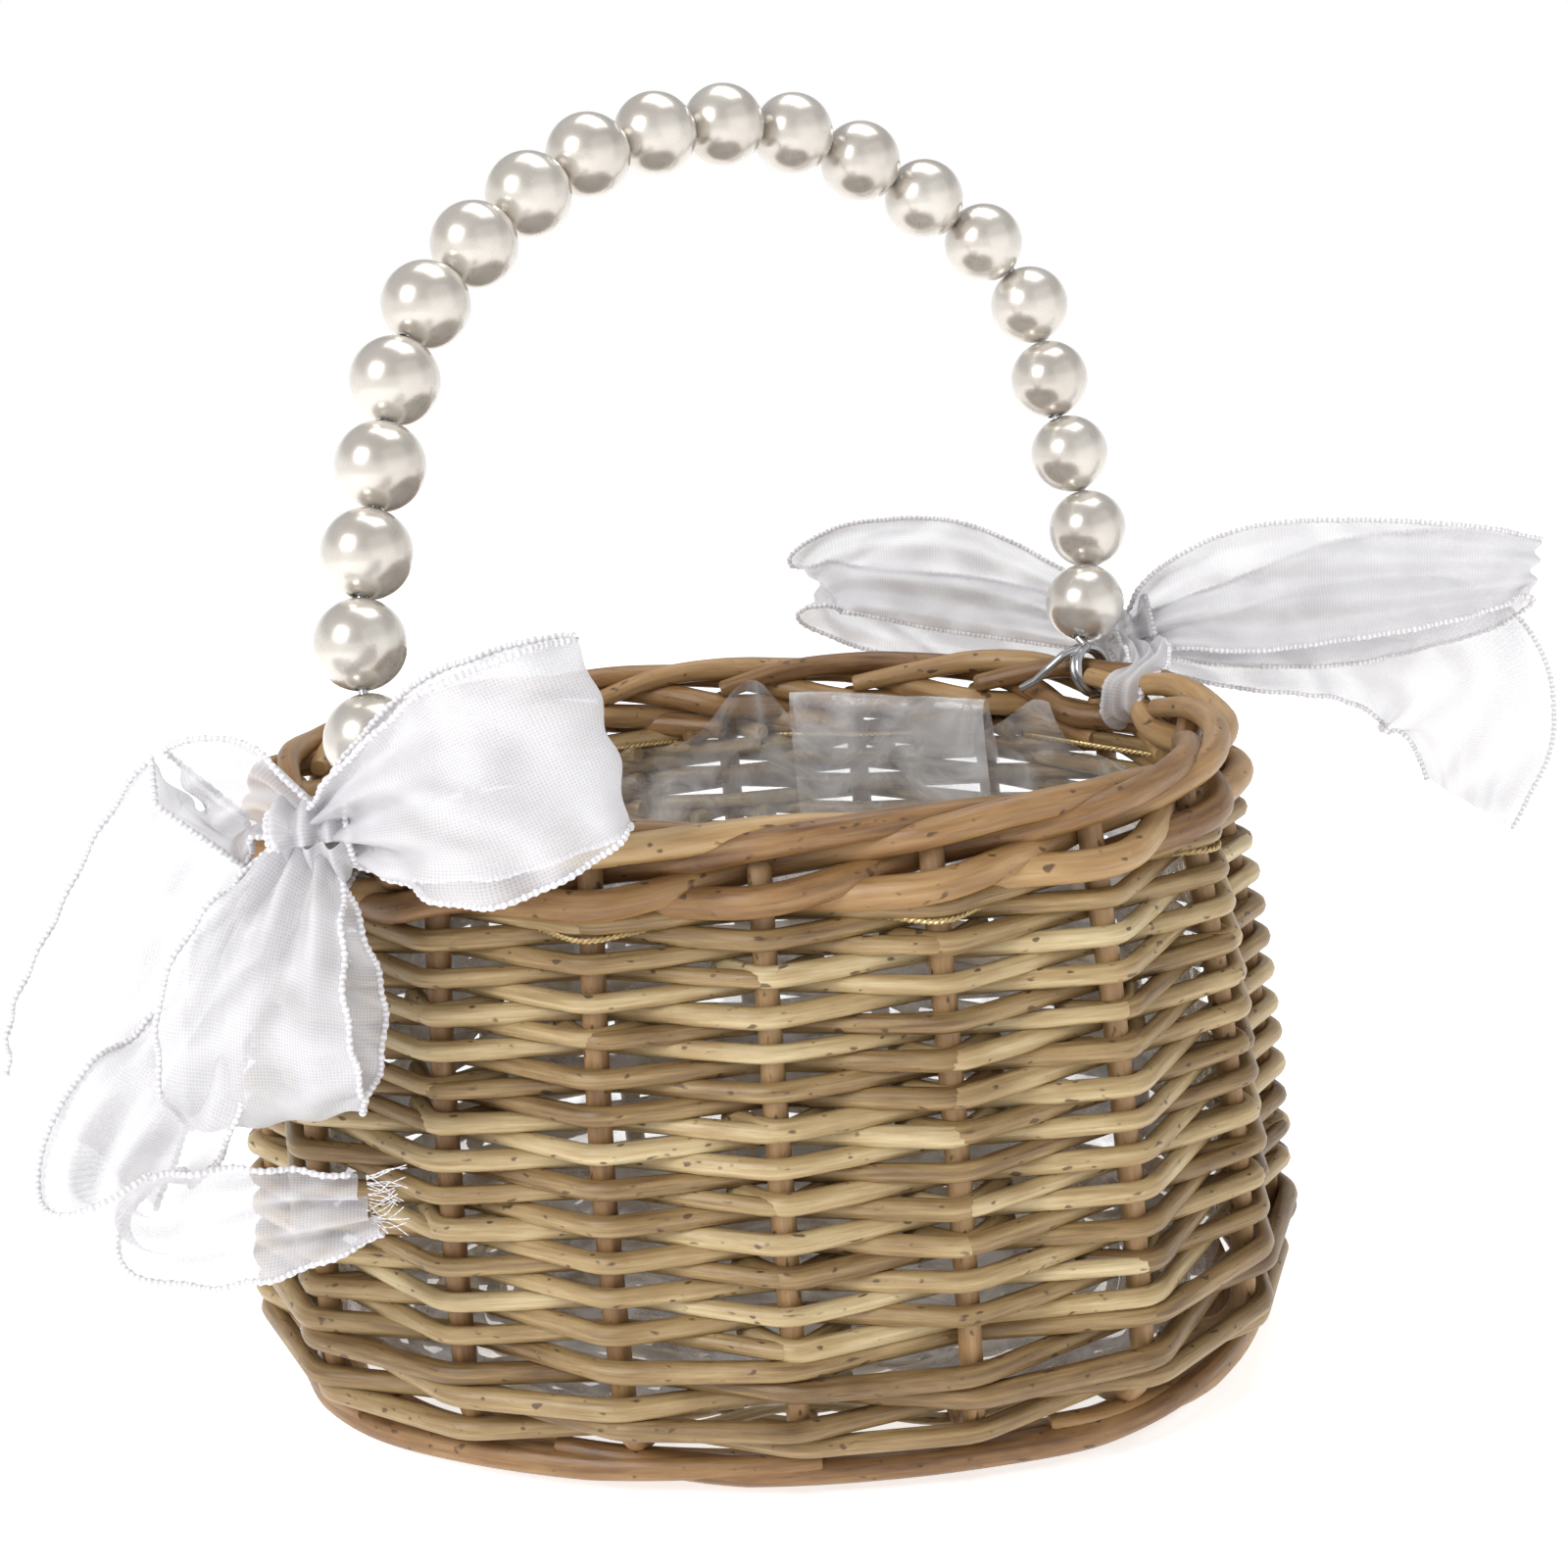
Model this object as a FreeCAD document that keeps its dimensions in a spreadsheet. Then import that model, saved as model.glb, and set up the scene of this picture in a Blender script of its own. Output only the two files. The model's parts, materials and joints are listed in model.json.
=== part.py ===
"""Flower girl basket: an oval willow basket on upright stakes, with a clear film lining laced in
with gold twine, a wire handle threaded with pearl beads, and a ribbon bow over each handle foot.

Frame: +Z up, the origin on the resting plane under the middle of the base, +X along the basket's
longer side.  The plan is an oval of eight tangent arcs.  Every ring in the wall is the same oval
moved outward by an offset, so a place on the wall is a bearing (the direction its outward normal
points), an offset from the rim oval and a level.
"""
import FreeCAD, Part
import math
import os

SIZES = [
    ("rim_half_length", 88.0, "rim oval, centre to stake centres along X"),
    ("rim_half_width", 68.0, "rim oval, centre to stake centres along Y"),
    ("corner_radius", 48.0, "radius of the oval's four corner arcs"),
    ("corner_centre_x", 36.7, "centre of a corner arc along X"),
    ("corner_centre_y", 13.1, "centre of a corner arc along Y"),
    ("stake_count", 18, "upright stakes"),
    ("stake_diameter", 4.4, "upright stakes"),
    ("stake_gap", 0.12, "clearance between a stake and the rods that pass it"),
    ("stake_tail_level", 8.6, "level of the stakes' tails in the base"),
    ("stake_tail_inset", 20.0, "how far the tails reach inside the rim oval"),
    ("turn_up_offset", -2.5, "offset where a stake starts to turn up"),
    ("turn_up_radius", 10.8, "radius of the turn from base to wall"),
    ("lean_in_level", 20.0, "level where the wall starts to lean inward"),
    ("stake_top_level", 114.1, "top of the stakes, under the top rod"),
    ("short_stake_level", 110.9, "top of a stake beside a handle foot"),
    ("border_level", 110.4, "centre of the border rods"),
    ("border_rod_diameter", 5.4, "border rods under the rim"),
    ("border_gap_radius", 8.5, "room left for the handle loops in the border rods"),
    ("top_rod_level", 117.2, "centre of the rim's top rod"),
    ("top_rod_diameter", 5.6, "rim's top rod"),
    ("weaver_diameter", 2.84, "thin rods of the wall"),
    ("weaver_level", 31.4, "centre of the lowest thin row"),
    ("weaver_pitch", 3.15, "height from one thin row to the next"),
    ("weaver_rows_per_band", 8, "rows in each of the three bands"),
    ("wale_diameter", 3.7, "thick rows over the base edge"),
    ("wale_level", 13.1, "centre of the lowest thick row"),
    ("wale_pitch", 3.74, "height from one thick row to the next"),
    ("wale_rows", 5, "thick rows"),
    ("foot_rod_diameter", 6.2, "rod that the basket stands on"),
    ("foot_rod_level", 2.9, "its centre, so that its underside is worn flat"),
    ("foot_rod_offset", -1.5, "its offset from the rim oval"),
    ("edge_rod_diameter", 5.8, "rod outside the foot rod, round the base edge"),
    ("edge_rod_level", 5.5, "its centre"),
    ("edge_rod_offset", 5.55, "its offset from the rim oval"),
    ("base_stick_level", 8.65, "centre of the base sticks"),
    ("long_stick_diameter", 3.0, "base sticks along X"),
    ("long_stick_length", 128.0, "base sticks along X"),
    ("long_stick_spacing", 4.2, "centre to centre"),
    ("short_stick_diameter", 4.6, "base sticks along Y"),
    ("short_stick_length", 82.0, "base sticks along Y"),
    ("short_stick_spacing", 17.0, "centre to centre"),
    ("slit_height", 3.1, "slit through a short stick"),
    ("slit_length", 12.0, "slit through a short stick"),
    ("base_weave_bottom", 6.5, "underside of the base weaving"),
    ("base_weave_top", 10.8, "top of the base weaving"),
    ("base_weave_offset", -4.0, "edge of the base weaving"),
    ("channel_clearance", 0.06, "room round each stick and stake tail in the base weaving"),
    ("film_thickness", 0.4, "clear lining"),
    ("film_offset", -0.8, "widest part of the lining"),
    ("film_corner_radius", 8.9, "round where the lining's wall meets its floor"),
    ("film_turn_level", 20.1, "level of the lining's widest part"),
    ("film_top_level", 105.4, "top edge of the laced lining"),
    ("twine_diameter", 0.9, "gold twine"),
    ("twine_level", 106.4, "level where the twine laces the lining"),
    ("twine_inner_reach", 9.0, "twine's distance inside a stake's centre"),
    ("wire_diameter", 1.7, "handle wire"),
    ("loop_radius", 4.9, "handle loop round the top rod, to the wire's centre"),
    ("loop_shift", 0.78, "half the spacing of the two turns of a loop"),
    ("tail_length", 8.0, "cut tail of the handle wire"),
    ("tail_turn", 20.0, "degrees round the loop from the leg to the tail"),
    ("bend_reach", 2.4, "wire taken by a bend between two beads, each side of it"),
    ("end_bend_reach", 0.45, "wire taken by the bend under an end bead, each side of it"),
    ("tail_diameter", 1.5, "cut tail of the handle wire, drawn thin by the cutter"),
    ("left_foot_bearing", 250.0, "bearing of the left handle foot on the rim"),
    ("right_foot_bearing", 52.5, "bearing of the right handle foot on the rim"),
    ("handle_lean", 18.4, "degrees the handle leans back at rest"),
    ("bead_diameter", 16.0, "pearl bead"),
    ("bead_bore", 2.4, "hole through a bead"),
    ("bead_gap", 0.1, "gap between beads along the wire"),
    ("first_bead_gap", 1.0, "bare wire between the first bead and the second"),
    ("leg_height", 7.8, "foot centre to the end of the first bead"),
]

# Direction of the wire through each bead, in degrees from upright towards the right foot: the arch
# is bent by hand, tighter at the right shoulder.
BEAD_DIRECTIONS = (4, 13, 26, 22, 28, 45, 57, 59, 72, 84, 89, 109, 119, 127, 132, 170, 189, 170, 193, 210)

# Ribbon pieces: centre, half sizes along X, Y and Z, and the tilt about Y in degrees.
RIBBONS = {
    "left_bow_knot": ((-55, -80, 123), (5, 5, 5), 0),
    "left_bow_front_loop": ((-27, -84, 130), (23, 4, 16), -15),
    "left_bow_hanging_loop": ((-64, -84, 98), (15, 4.5, 25), 0),
    "left_bow_outer_tail": ((-90, -77, 100), (25, 3, 36), 22),
    "left_bow_lower_tail": ((-77, -91, 66), (28, 2, 10), 0),
    "right_bow_knot": ((72, 70, 119), (5.5, 5.5, 5.5), 0),
    "right_bow_inner_loop": ((28, 88, 129), (26, 4, 12), 12),
    "right_bow_outer_loop": ((122, 72, 127), (40, 5, 15), 0),
    "right_bow_tail": ((141, 77, 91.5), (14, 4, 21), 0),
}

for bow_piece, (_, half_sizes, _) in RIBBONS.items():
    for axis, half_size in zip("xyz", half_sizes):
        SIZES.append(("%s_half_%s" % (bow_piece, axis), half_size, "half size of a ribbon piece"))

Vector = FreeCAD.Vector
UP = Vector(0, 0, 1)
document = FreeCAD.newDocument("flower_girl_basket")
sheet = document.addObject("Spreadsheet::Sheet", "Sizes")
for row, (alias, value, meaning) in enumerate(SIZES, start=1):
    sheet.set("A%d" % row, meaning)
    sheet.set("B%d" % row, str(value))
    sheet.setAlias("B%d" % row, alias)
document.recompute()


def size(alias):
    """A driving dimension, read from the sheet."""
    return float(getattr(sheet, alias))


def add_shape(label, shape):
    """A sub-part whose shape is made by the functions below."""
    feature = document.addObject("Part::Feature", label)
    feature.Shape = shape
    feature.Label = label
    return feature


# ---------------------------------------------------------------- the oval plan

def plan_arcs():
    """The oval's arcs as (centre, radius, first bearing, last bearing), anticlockwise from the front.

    The corner arcs are given; the side arcs and end arcs are the ones tangent to them that reach the
    oval's half width and half length.
    """
    half_length = size("rim_half_length")
    half_width = size("rim_half_width")
    corner = size("corner_radius")
    across = size("corner_centre_x")
    along = size("corner_centre_y")
    side = (across**2 + (half_width - along) ** 2 - corner**2) / (2 * (half_width - along - corner))
    end = (along**2 + (half_length - across) ** 2 - corner**2) / (2 * (half_length - across - corner))
    side_turn = math.degrees(math.atan2(across, side - half_width + along))
    end_turn = math.degrees(math.atan2(along, across - half_length + end))
    arcs = []
    for quarter_turn, reach, radius in ((-90, half_width, side), (0, half_length, end),
                                        (90, half_width, side), (180, half_length, end)):
        is_side = radius == side
        turn = side_turn if is_side else end_turn
        outward = Vector(math.cos(math.radians(quarter_turn)), math.sin(math.radians(quarter_turn)), 0)
        arcs.append((outward * (reach - radius), radius, quarter_turn - turn, quarter_turn + turn))
        next_turn = end_turn if is_side else side_turn
        middle = math.radians(quarter_turn + 45)
        corner_x = math.copysign(across, math.cos(middle))
        corner_y = math.copysign(along, math.sin(middle))
        corner_turns = (quarter_turn + turn, quarter_turn + 90 - next_turn)
        arcs.append((Vector(corner_x, corner_y, 0), corner, *corner_turns))
    return arcs


PLAN = plan_arcs()


def normal(bearing):
    """The outward horizontal direction at a bearing."""
    return Vector(math.cos(math.radians(bearing)), math.sin(math.radians(bearing)), 0)


def plan_point(bearing, offset=0.0, level=0.0):
    """The point of the oval, moved outward by offset, where the outward normal has this bearing."""
    first = PLAN[0][2]
    turned = first + (bearing - first) % 360
    for centre, radius, start, end in PLAN:
        if turned <= end + 1e-9:
            break
    return centre + normal(bearing) * (radius + offset) + UP * level


def stake_bearings():
    """Bearings of the stakes, evenly spaced along the rim oval, half a space each side of the front."""
    lengths = [radius * math.radians(end - start) for centre, radius, start, end in PLAN]
    spacing = sum(lengths) / size("stake_count")
    bearings = []
    for index in range(int(size("stake_count"))):
        distance = (index + 0.5) * spacing + lengths[0] / 2
        for (centre, radius, start, end), length in zip(PLAN + PLAN, lengths + lengths):
            if distance <= length:
                break
            distance -= length
        bearings.append(start + math.degrees(distance / radius))
    return bearings


BEARINGS = stake_bearings()


def oval_wire(offset, level):
    """The closed oval at an offset and a level."""
    edges = []
    for centre, radius, start, end in PLAN:
        points = [centre + normal(bearing) * (radius + offset) + UP * level
                  for bearing in (start, (start + end) / 2, end)]
        edges.append(Part.Arc(*points).toShape())
    return Part.Wire(edges)


def swept_rod(path, diameter):
    """A round rod along a wire."""
    first = path.OrderedEdges[0]
    start = first.valueAt(first.FirstParameter)
    along = first.tangentAt(first.FirstParameter)
    section = Part.Wire(Part.makeCircle(diameter / 2, start, along))
    return path.makePipeShell([section], True, True)


# ---------------------------------------------------------------- the wall's line

def lean_in_radius():
    """Radius of the long arc that brings a stake from the widest part back to the rim oval."""
    swell = size("turn_up_offset") + size("turn_up_radius")
    rise = size("short_stake_level") - size("lean_in_level")
    return (rise**2 + swell**2) / (2 * swell)


def stake_line(level):
    """Offset of a stake's centre at a level, and how far the stake leans from upright there."""
    turn = size("turn_up_radius")
    turn_centre = size("stake_tail_level") + turn
    swell = size("turn_up_offset") + turn
    if level < turn_centre:
        drop = turn_centre - level
        return size("turn_up_offset") + math.sqrt(turn**2 - drop**2), math.asin(drop / turn)
    if level < size("lean_in_level"):
        return swell, 0.0
    radius = lean_in_radius()
    rise = level - size("lean_in_level")
    return swell - radius + math.sqrt(radius**2 - rise**2), math.asin(rise / radius)


STRAIGHT_ENOUGH = math.sin(math.radians(2))
FREE_BEND = 2  # a rod that only passes a stake bends this many times wider than one that wraps it


def rounded_path(vertices, radii, closed=True):
    """Straight runs joined by tangent arcs, in a plane or in space."""
    count = len(vertices)
    corners = []
    for index, (vertex, radius) in enumerate(zip(vertices, radii)):
        if not closed and index in (0, count - 1):
            corners.append((vertex, None, vertex))
            continue
        arriving = (vertex - vertices[index - 1]).normalize()
        leaving = (vertices[(index + 1) % count] - vertex).normalize()
        turn = arriving.getAngle(leaving)
        if turn < math.radians(0.01):
            corners.append((vertex, None, vertex))
            continue
        reach = radius * math.tan(turn / 2)
        inward = (leaving - arriving).normalize()
        middle = vertex + inward * (radius / math.cos(turn / 2) - radius)
        corners.append((vertex - arriving * reach, middle, vertex + leaving * reach))
    edges = []
    for index, (enter, middle, leave) in enumerate(corners):
        if middle:
            edges.append(Part.Arc(enter, middle, leave).toShape())
        if closed or index < count - 1:
            edges.append(Part.LineSegment(leave, corners[(index + 1) % count][0]).toShape())
    return Part.Wire(edges[1:] + edges[:1]) if closed else Part.Wire(edges)


def woven_path(level, sides, reaches):
    """A closed path past every stake at one level.

    sides is 1 where it passes outside a stake and -1 inside; reaches is its distance from the stake's
    centre.  Each run is the line tangent to the circles round two neighbouring stakes.
    """
    offset = stake_line(level)[0]
    centres = [plan_point(bearing, offset, level) for bearing in BEARINGS]
    count = len(centres)
    runs = []
    for index in range(count):
        after = (index + 1) % count
        step = centres[after] - centres[index]
        swing = (sides[after] * reaches[after] - sides[index] * reaches[index]) / step.Length
        heading = math.atan2(step.y, step.x) - math.asin(swing)
        side_way = Vector(-math.sin(heading), math.cos(heading), 0)
        start = centres[index] - side_way * (sides[index] * reaches[index])
        end = centres[after] - side_way * (sides[after] * reaches[after])
        runs.append((start, end, Vector(math.cos(heading), math.sin(heading), 0)))
    vertices, radii = [], []
    for index in range(count):
        arriving, leaving = runs[index - 1], runs[index]
        cross = arriving[2].x * leaving[2].y - arriving[2].y * leaving[2].x
        if abs(cross) < STRAIGHT_ENOUGH:
            vertices.append((arriving[1] + leaving[0]) * 0.5)
        else:
            gap = leaving[0] - arriving[0]
            travel = (gap.x * leaving[2].y - gap.y * leaving[2].x) / cross
            vertices.append(arriving[0] + arriving[2] * travel)
        wraps = cross * sides[index] > 0
        radii.append(reaches[index] * (1 if wraps else FREE_BEND))
    return rounded_path(vertices, radii)


def passing_reach(level, side, clear):
    """Level distance from a stake's centre to a rod that keeps clear of it, outside (1) or inside (-1).

    Round the turn of the stake the rod keeps to a circle about the turn's own centre.
    """
    turn = size("turn_up_radius")
    drop = size("stake_tail_level") + turn - level
    if drop > 0:
        return side * (math.sqrt((turn + side * clear) ** 2 - drop**2) - math.sqrt(turn**2 - drop**2))
    return clear / math.cos(stake_line(level)[1])


def woven_ring(level, diameter, pattern, shift):
    """A rod woven round the wall; pattern repeats along the stakes, starting shift stakes along."""
    clear = size("stake_diameter") / 2 + diameter / 2 + size("stake_gap")
    sides = [pattern[(index + shift) % len(pattern)] for index in range(len(BEARINGS))]
    reaches = [passing_reach(level, side, clear) for side in sides]
    return swept_rod(woven_path(level, sides, reaches), diameter)


# ---------------------------------------------------------------- base

def bound_cylinder(name, radius, height):
    """A cylinder whose sizes are bound to the sheet."""
    cylinder = document.addObject("Part::Cylinder", name)
    cylinder.setExpression("Radius", radius)
    cylinder.setExpression("Height", height)
    return cylinder


def group(label, members):
    """Like pieces that share one node, each a solid of its own."""
    compound = document.addObject("Part::Compound", label)
    compound.Links = members
    compound.Label = label
    return compound


def base_long_sticks():
    """Three straight sticks side by side along X."""
    sticks = []
    for index in (-1, 0, 1):
        stick = bound_cylinder("long_stick", "Sizes.long_stick_diameter / 2", "Sizes.long_stick_length")
        stick.Placement.Rotation = FreeCAD.Rotation(Vector(0, 1, 0), 90)
        stick.setExpression("Placement.Base.x", "-Sizes.long_stick_length / 2")
        stick.setExpression("Placement.Base.y", "%d * Sizes.long_stick_spacing" % index)
        stick.setExpression("Placement.Base.z", "Sizes.base_stick_level")
        sticks.append(stick)
    return group("base_long_sticks", sticks)


def base_short_sticks():
    """Five sticks along Y, slit in the middle so that the long sticks pass through them."""
    sticks = []
    for index in (-2, -1, 0, 1, 2):
        stick = bound_cylinder("short_stick", "Sizes.short_stick_diameter / 2", "Sizes.short_stick_length")
        stick.Placement.Rotation = FreeCAD.Rotation(Vector(1, 0, 0), -90)
        stick.setExpression("Placement.Base.x", "%d * Sizes.short_stick_spacing" % index)
        stick.setExpression("Placement.Base.y", "-Sizes.short_stick_length / 2")
        stick.setExpression("Placement.Base.z", "Sizes.base_stick_level")
        slit = document.addObject("Part::Box", "slit")
        slit.setExpression("Length", "2 * Sizes.short_stick_diameter")
        slit.setExpression("Width", "Sizes.slit_length")
        slit.setExpression("Height", "Sizes.slit_height")
        slit_middle = "%d * Sizes.short_stick_spacing" % index
        slit.setExpression("Placement.Base.x", slit_middle + " - Sizes.short_stick_diameter")
        slit.setExpression("Placement.Base.y", "-Sizes.slit_length / 2")
        slit.setExpression("Placement.Base.z", "Sizes.base_stick_level - Sizes.slit_height / 2")
        slit_stick = document.addObject("Part::Cut", "slit_stick")
        slit_stick.Base = stick
        slit_stick.Tool = slit
        sticks.append(slit_stick)
    return group("base_short_sticks", sticks)


def base_weave():
    """The weaving between the sticks: a plate with a channel for each stick and each stake's tail."""
    depth = size("base_weave_top") - size("base_weave_bottom")
    outline = Part.Face(oval_wire(size("base_weave_offset"), size("base_weave_bottom")))
    plate = outline.extrude(UP * depth)
    clearance = size("channel_clearance")
    channels = []
    for bearing in BEARINGS:
        inner = plan_point(bearing, -size("stake_tail_inset") - clearance, size("stake_tail_level"))
        radius = size("stake_diameter") / 2 + clearance
        channels.append(Part.makeCylinder(radius, size("stake_tail_inset"), inner, normal(bearing)))
    level = size("base_stick_level")
    long_radius = size("long_stick_diameter") / 2 + clearance
    long_reach = size("long_stick_length") / 2 + clearance
    for index in (-1, 0, 1):
        start = Vector(-long_reach, index * size("long_stick_spacing"), level)
        channels.append(Part.makeCylinder(long_radius, 2 * long_reach, start, Vector(1, 0, 0)))
    short_radius = size("short_stick_diameter") / 2 + clearance
    short_reach = size("short_stick_length") / 2 + clearance
    for index in (-2, -1, 0, 1, 2):
        start = Vector(index * size("short_stick_spacing"), -short_reach, level)
        channels.append(Part.makeCylinder(short_radius, 2 * short_reach, start, Vector(0, 1, 0)))
    return add_shape("base_weave", max(plate.cut(channels).Solids, key=lambda solid: solid.Volume))


def foot_border_rods():
    """The rod that the basket stands on, worn flat underneath, and the rod outside it."""
    foot_wire = oval_wire(size("foot_rod_offset"), size("foot_rod_level"))
    foot = swept_rod(foot_wire, size("foot_rod_diameter"))
    reach = 2 * size("rim_half_length")
    below = Part.makeBox(2 * reach, 2 * reach, reach, Vector(-reach, -reach, -reach))
    edge_wire = oval_wire(size("edge_rod_offset"), size("edge_rod_level"))
    edge = swept_rod(edge_wire, size("edge_rod_diameter"))
    return add_shape("foot_border_rods", Part.makeCompound([foot.cut(below), edge]))


# ---------------------------------------------------------------- wall

def near_foot(bearing):
    """Whether a stake stands so close to a handle foot that it has to stop below the loops."""
    stake = plan_point(bearing)
    feet = [plan_point(size(foot)) for foot in ("left_foot_bearing", "right_foot_bearing")]
    return min(stake.distanceToPoint(foot) for foot in feet) < size("border_gap_radius")


def side_stakes():
    """Each stake runs out from the base, turns up and leans in to the rim: line, arc, line, arc."""
    stakes = []
    turn = size("turn_up_radius")
    tail_level = size("stake_tail_level")
    turned_level = tail_level + turn
    swell, lean_level = size("turn_up_offset") + turn, size("lean_in_level")
    for bearing in BEARINGS:
        top_level = size("short_stake_level") if near_foot(bearing) else size("stake_top_level")
        half_turn = turn * math.sqrt(0.5)
        middle_level = (lean_level + top_level) / 2
        tail, bend = -size("stake_tail_inset"), size("turn_up_offset")
        stations = [(tail, tail_level), (bend, tail_level), (bend + half_turn, turned_level - half_turn),
                    (swell, turned_level), (swell, lean_level),
                    (stake_line(middle_level)[0], middle_level), (stake_line(top_level)[0], top_level)]
        points = [plan_point(bearing, offset, level) for offset, level in stations]
        path = Part.Wire([Part.LineSegment(points[0], points[1]).toShape(),
                          Part.Arc(*points[1:4]).toShape(),
                          Part.LineSegment(points[3], points[4]).toShape(),
                          Part.Arc(*points[4:7]).toShape()])
        stakes.append(swept_rod(path, size("stake_diameter")))
    return add_shape("side_stakes", Part.makeCompound(stakes))


def upsett_wale():
    """Thick rows over the turn of the stakes, each outside two stakes and inside the third."""
    rings = []
    for index in range(int(size("wale_rows"))):
        level = size("wale_level") + index * size("wale_pitch")
        rings.append(woven_ring(level, size("wale_diameter"), (1, 1, -1), index))
    return add_shape("upsett_wale", Part.makeCompound(rings))


def side_weavers(label, first_row):
    """A band of thin rows, each outside one stake and inside the next."""
    rings = []
    for row in range(first_row, first_row + int(size("weaver_rows_per_band"))):
        level = size("weaver_level") + row * size("weaver_pitch")
        rings.append(woven_ring(level, size("weaver_diameter"), (1, -1), row))
    return add_shape(label, Part.makeCompound(rings))


def rim_border_rods():
    """The border under the rim, woven like the rows below, open where the handle's loops pass."""
    ring = woven_ring(size("border_level"), size("border_rod_diameter"), (1, -1), 0)
    depth = 2 * (size("top_rod_level") - size("border_level"))
    room = [Part.makeCylinder(size("border_gap_radius"), depth, foot - UP * depth)
            for foot in (LEFT_FOOT, RIGHT_FOOT)]
    return add_shape("rim_border_rods", ring.cut(room))


def rim_top_rod():
    """The rod along the top of the rim."""
    ring = swept_rod(oval_wire(0, size("top_rod_level")), size("top_rod_diameter"))
    return add_shape("rim_top_rod", ring)


# ---------------------------------------------------------------- lining

def liner_film():
    """The clear cup: a thin section carried round the oval, and a flat floor."""
    half = size("film_thickness") / 2
    corner = size("film_corner_radius")
    turn_level = size("film_turn_level")
    corner_offset = size("film_offset") - corner
    floor_level = turn_level - corner
    lean_radius = lean_in_radius() - (stake_line(turn_level)[0] - size("film_offset"))
    lean_centre = size("film_offset") - lean_radius
    top = size("film_top_level")

    def corner_arc(radius):
        slant = radius * math.sqrt(0.5)
        return [(corner_offset, turn_level - radius), (corner_offset + slant, turn_level - slant),
                (corner_offset + radius, turn_level)]

    def wall_arc(radius):
        points = []
        for level in (turn_level, (turn_level + top) / 2, top):
            points.append((lean_centre + math.sqrt(radius**2 - (level - turn_level) ** 2), level))
        return points

    def arc(points):
        return Part.Arc(*[plan_point(-90, offset, level) for offset, level in points]).toShape()

    def line(start, end):
        return Part.LineSegment(plan_point(-90, *start), plan_point(-90, *end)).toShape()

    outer_corner, inner_corner = corner_arc(corner + half), corner_arc(corner - half)
    outer_wall, inner_wall = wall_arc(lean_radius + half), wall_arc(lean_radius - half)
    section = Part.Wire([arc(outer_corner), arc(outer_wall), line(outer_wall[2], inner_wall[2]),
                         arc(inner_wall[::-1]), arc(inner_corner[::-1]),
                         line(inner_corner[0], outer_corner[0])])
    front, *others = oval_wire(0, turn_level).Edges
    first, last = front.ParameterRange
    middle = (first + last) / 2
    path = Part.Wire([front.Curve.toShape(middle, last)] + others + [front.Curve.toShape(first, middle)])
    wall = path.makePipeShell([section], True, True)
    outline = Part.Face(oval_wire(corner_offset, floor_level - half))
    floor = outline.extrude(UP * size("film_thickness"))
    return add_shape("liner_film", wall.fuse(floor).removeSplitter())


def liner_cord():
    """The gold twine: outside one stake, then inside the lining at the next."""
    level = size("twine_level")
    outer = size("stake_diameter") / 2 + size("twine_diameter") / 2 + size("stake_gap")
    sides = [1 if index % 2 else -1 for index in range(len(BEARINGS))]
    reaches = [outer if side > 0 else size("twine_inner_reach") for side in sides]
    path = woven_path(level, sides, reaches)
    print("liner_cord length %.1f mm" % path.Length)
    return add_shape("liner_cord", swept_rod(path, size("twine_diameter")))


# ---------------------------------------------------------------- handle

LEFT_FOOT = plan_point(size("left_foot_bearing"), 0, size("top_rod_level"))
RIGHT_FOOT = plan_point(size("right_foot_bearing"), 0, size("top_rod_level"))
FOOT_LINE = (RIGHT_FOOT - LEFT_FOOT).normalize()
LEAN = FreeCAD.Rotation(FOOT_LINE, -size("handle_lean"))


def handle_point(along, height):
    """A point of the leaning handle's plane: along the foot line, and up from it."""
    return LEFT_FOOT + FOOT_LINE * along + LEAN.multVec(UP) * height


def bead_layout():
    """Each bead's centre and the wire's direction through it, and the bends between beads.

    Every bead sits on a straight run of wire, and the wire bends where two beads meet.
    """
    angles = [math.radians(angle) for angle in BEAD_DIRECTIONS]
    headings = [(math.sin(angle), math.cos(angle)) for angle in angles]
    radius = size("bead_diameter") / 2
    bends = [(0.0, size("leg_height"))]
    centres = []
    for index, (across, up) in enumerate(headings):
        spare = size("first_bead_gap") if index == 1 else size("bead_gap")
        before = angles[index] - angles[index - 1] if index else 0.0
        after = angles[index + 1] - angles[index] if index + 1 < len(angles) else 0.0
        near = (radius + spare / 2) / math.cos(before / 2)
        far = (radius + size("bead_gap") / 2) / math.cos(after / 2)
        start = bends[-1]
        centres.append((start[0] + across * near, start[1] + up * near))
        bends.append((start[0] + across * (near + far), start[1] + up * (near + far)))
    spare_width = (RIGHT_FOOT - LEFT_FOOT).Length - (bends[-1][0] - bends[0][0])
    shift = spare_width / 2
    centres = [handle_point(along + shift, height) for along, height in centres]
    bends = [handle_point(along + shift, height) for along, height in bends]
    directions = [(after - before).normalize() for before, after in zip(bends, bends[1:])]
    return centres, directions, bends


CENTRES, DIRECTIONS, BENDS = bead_layout()


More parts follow.
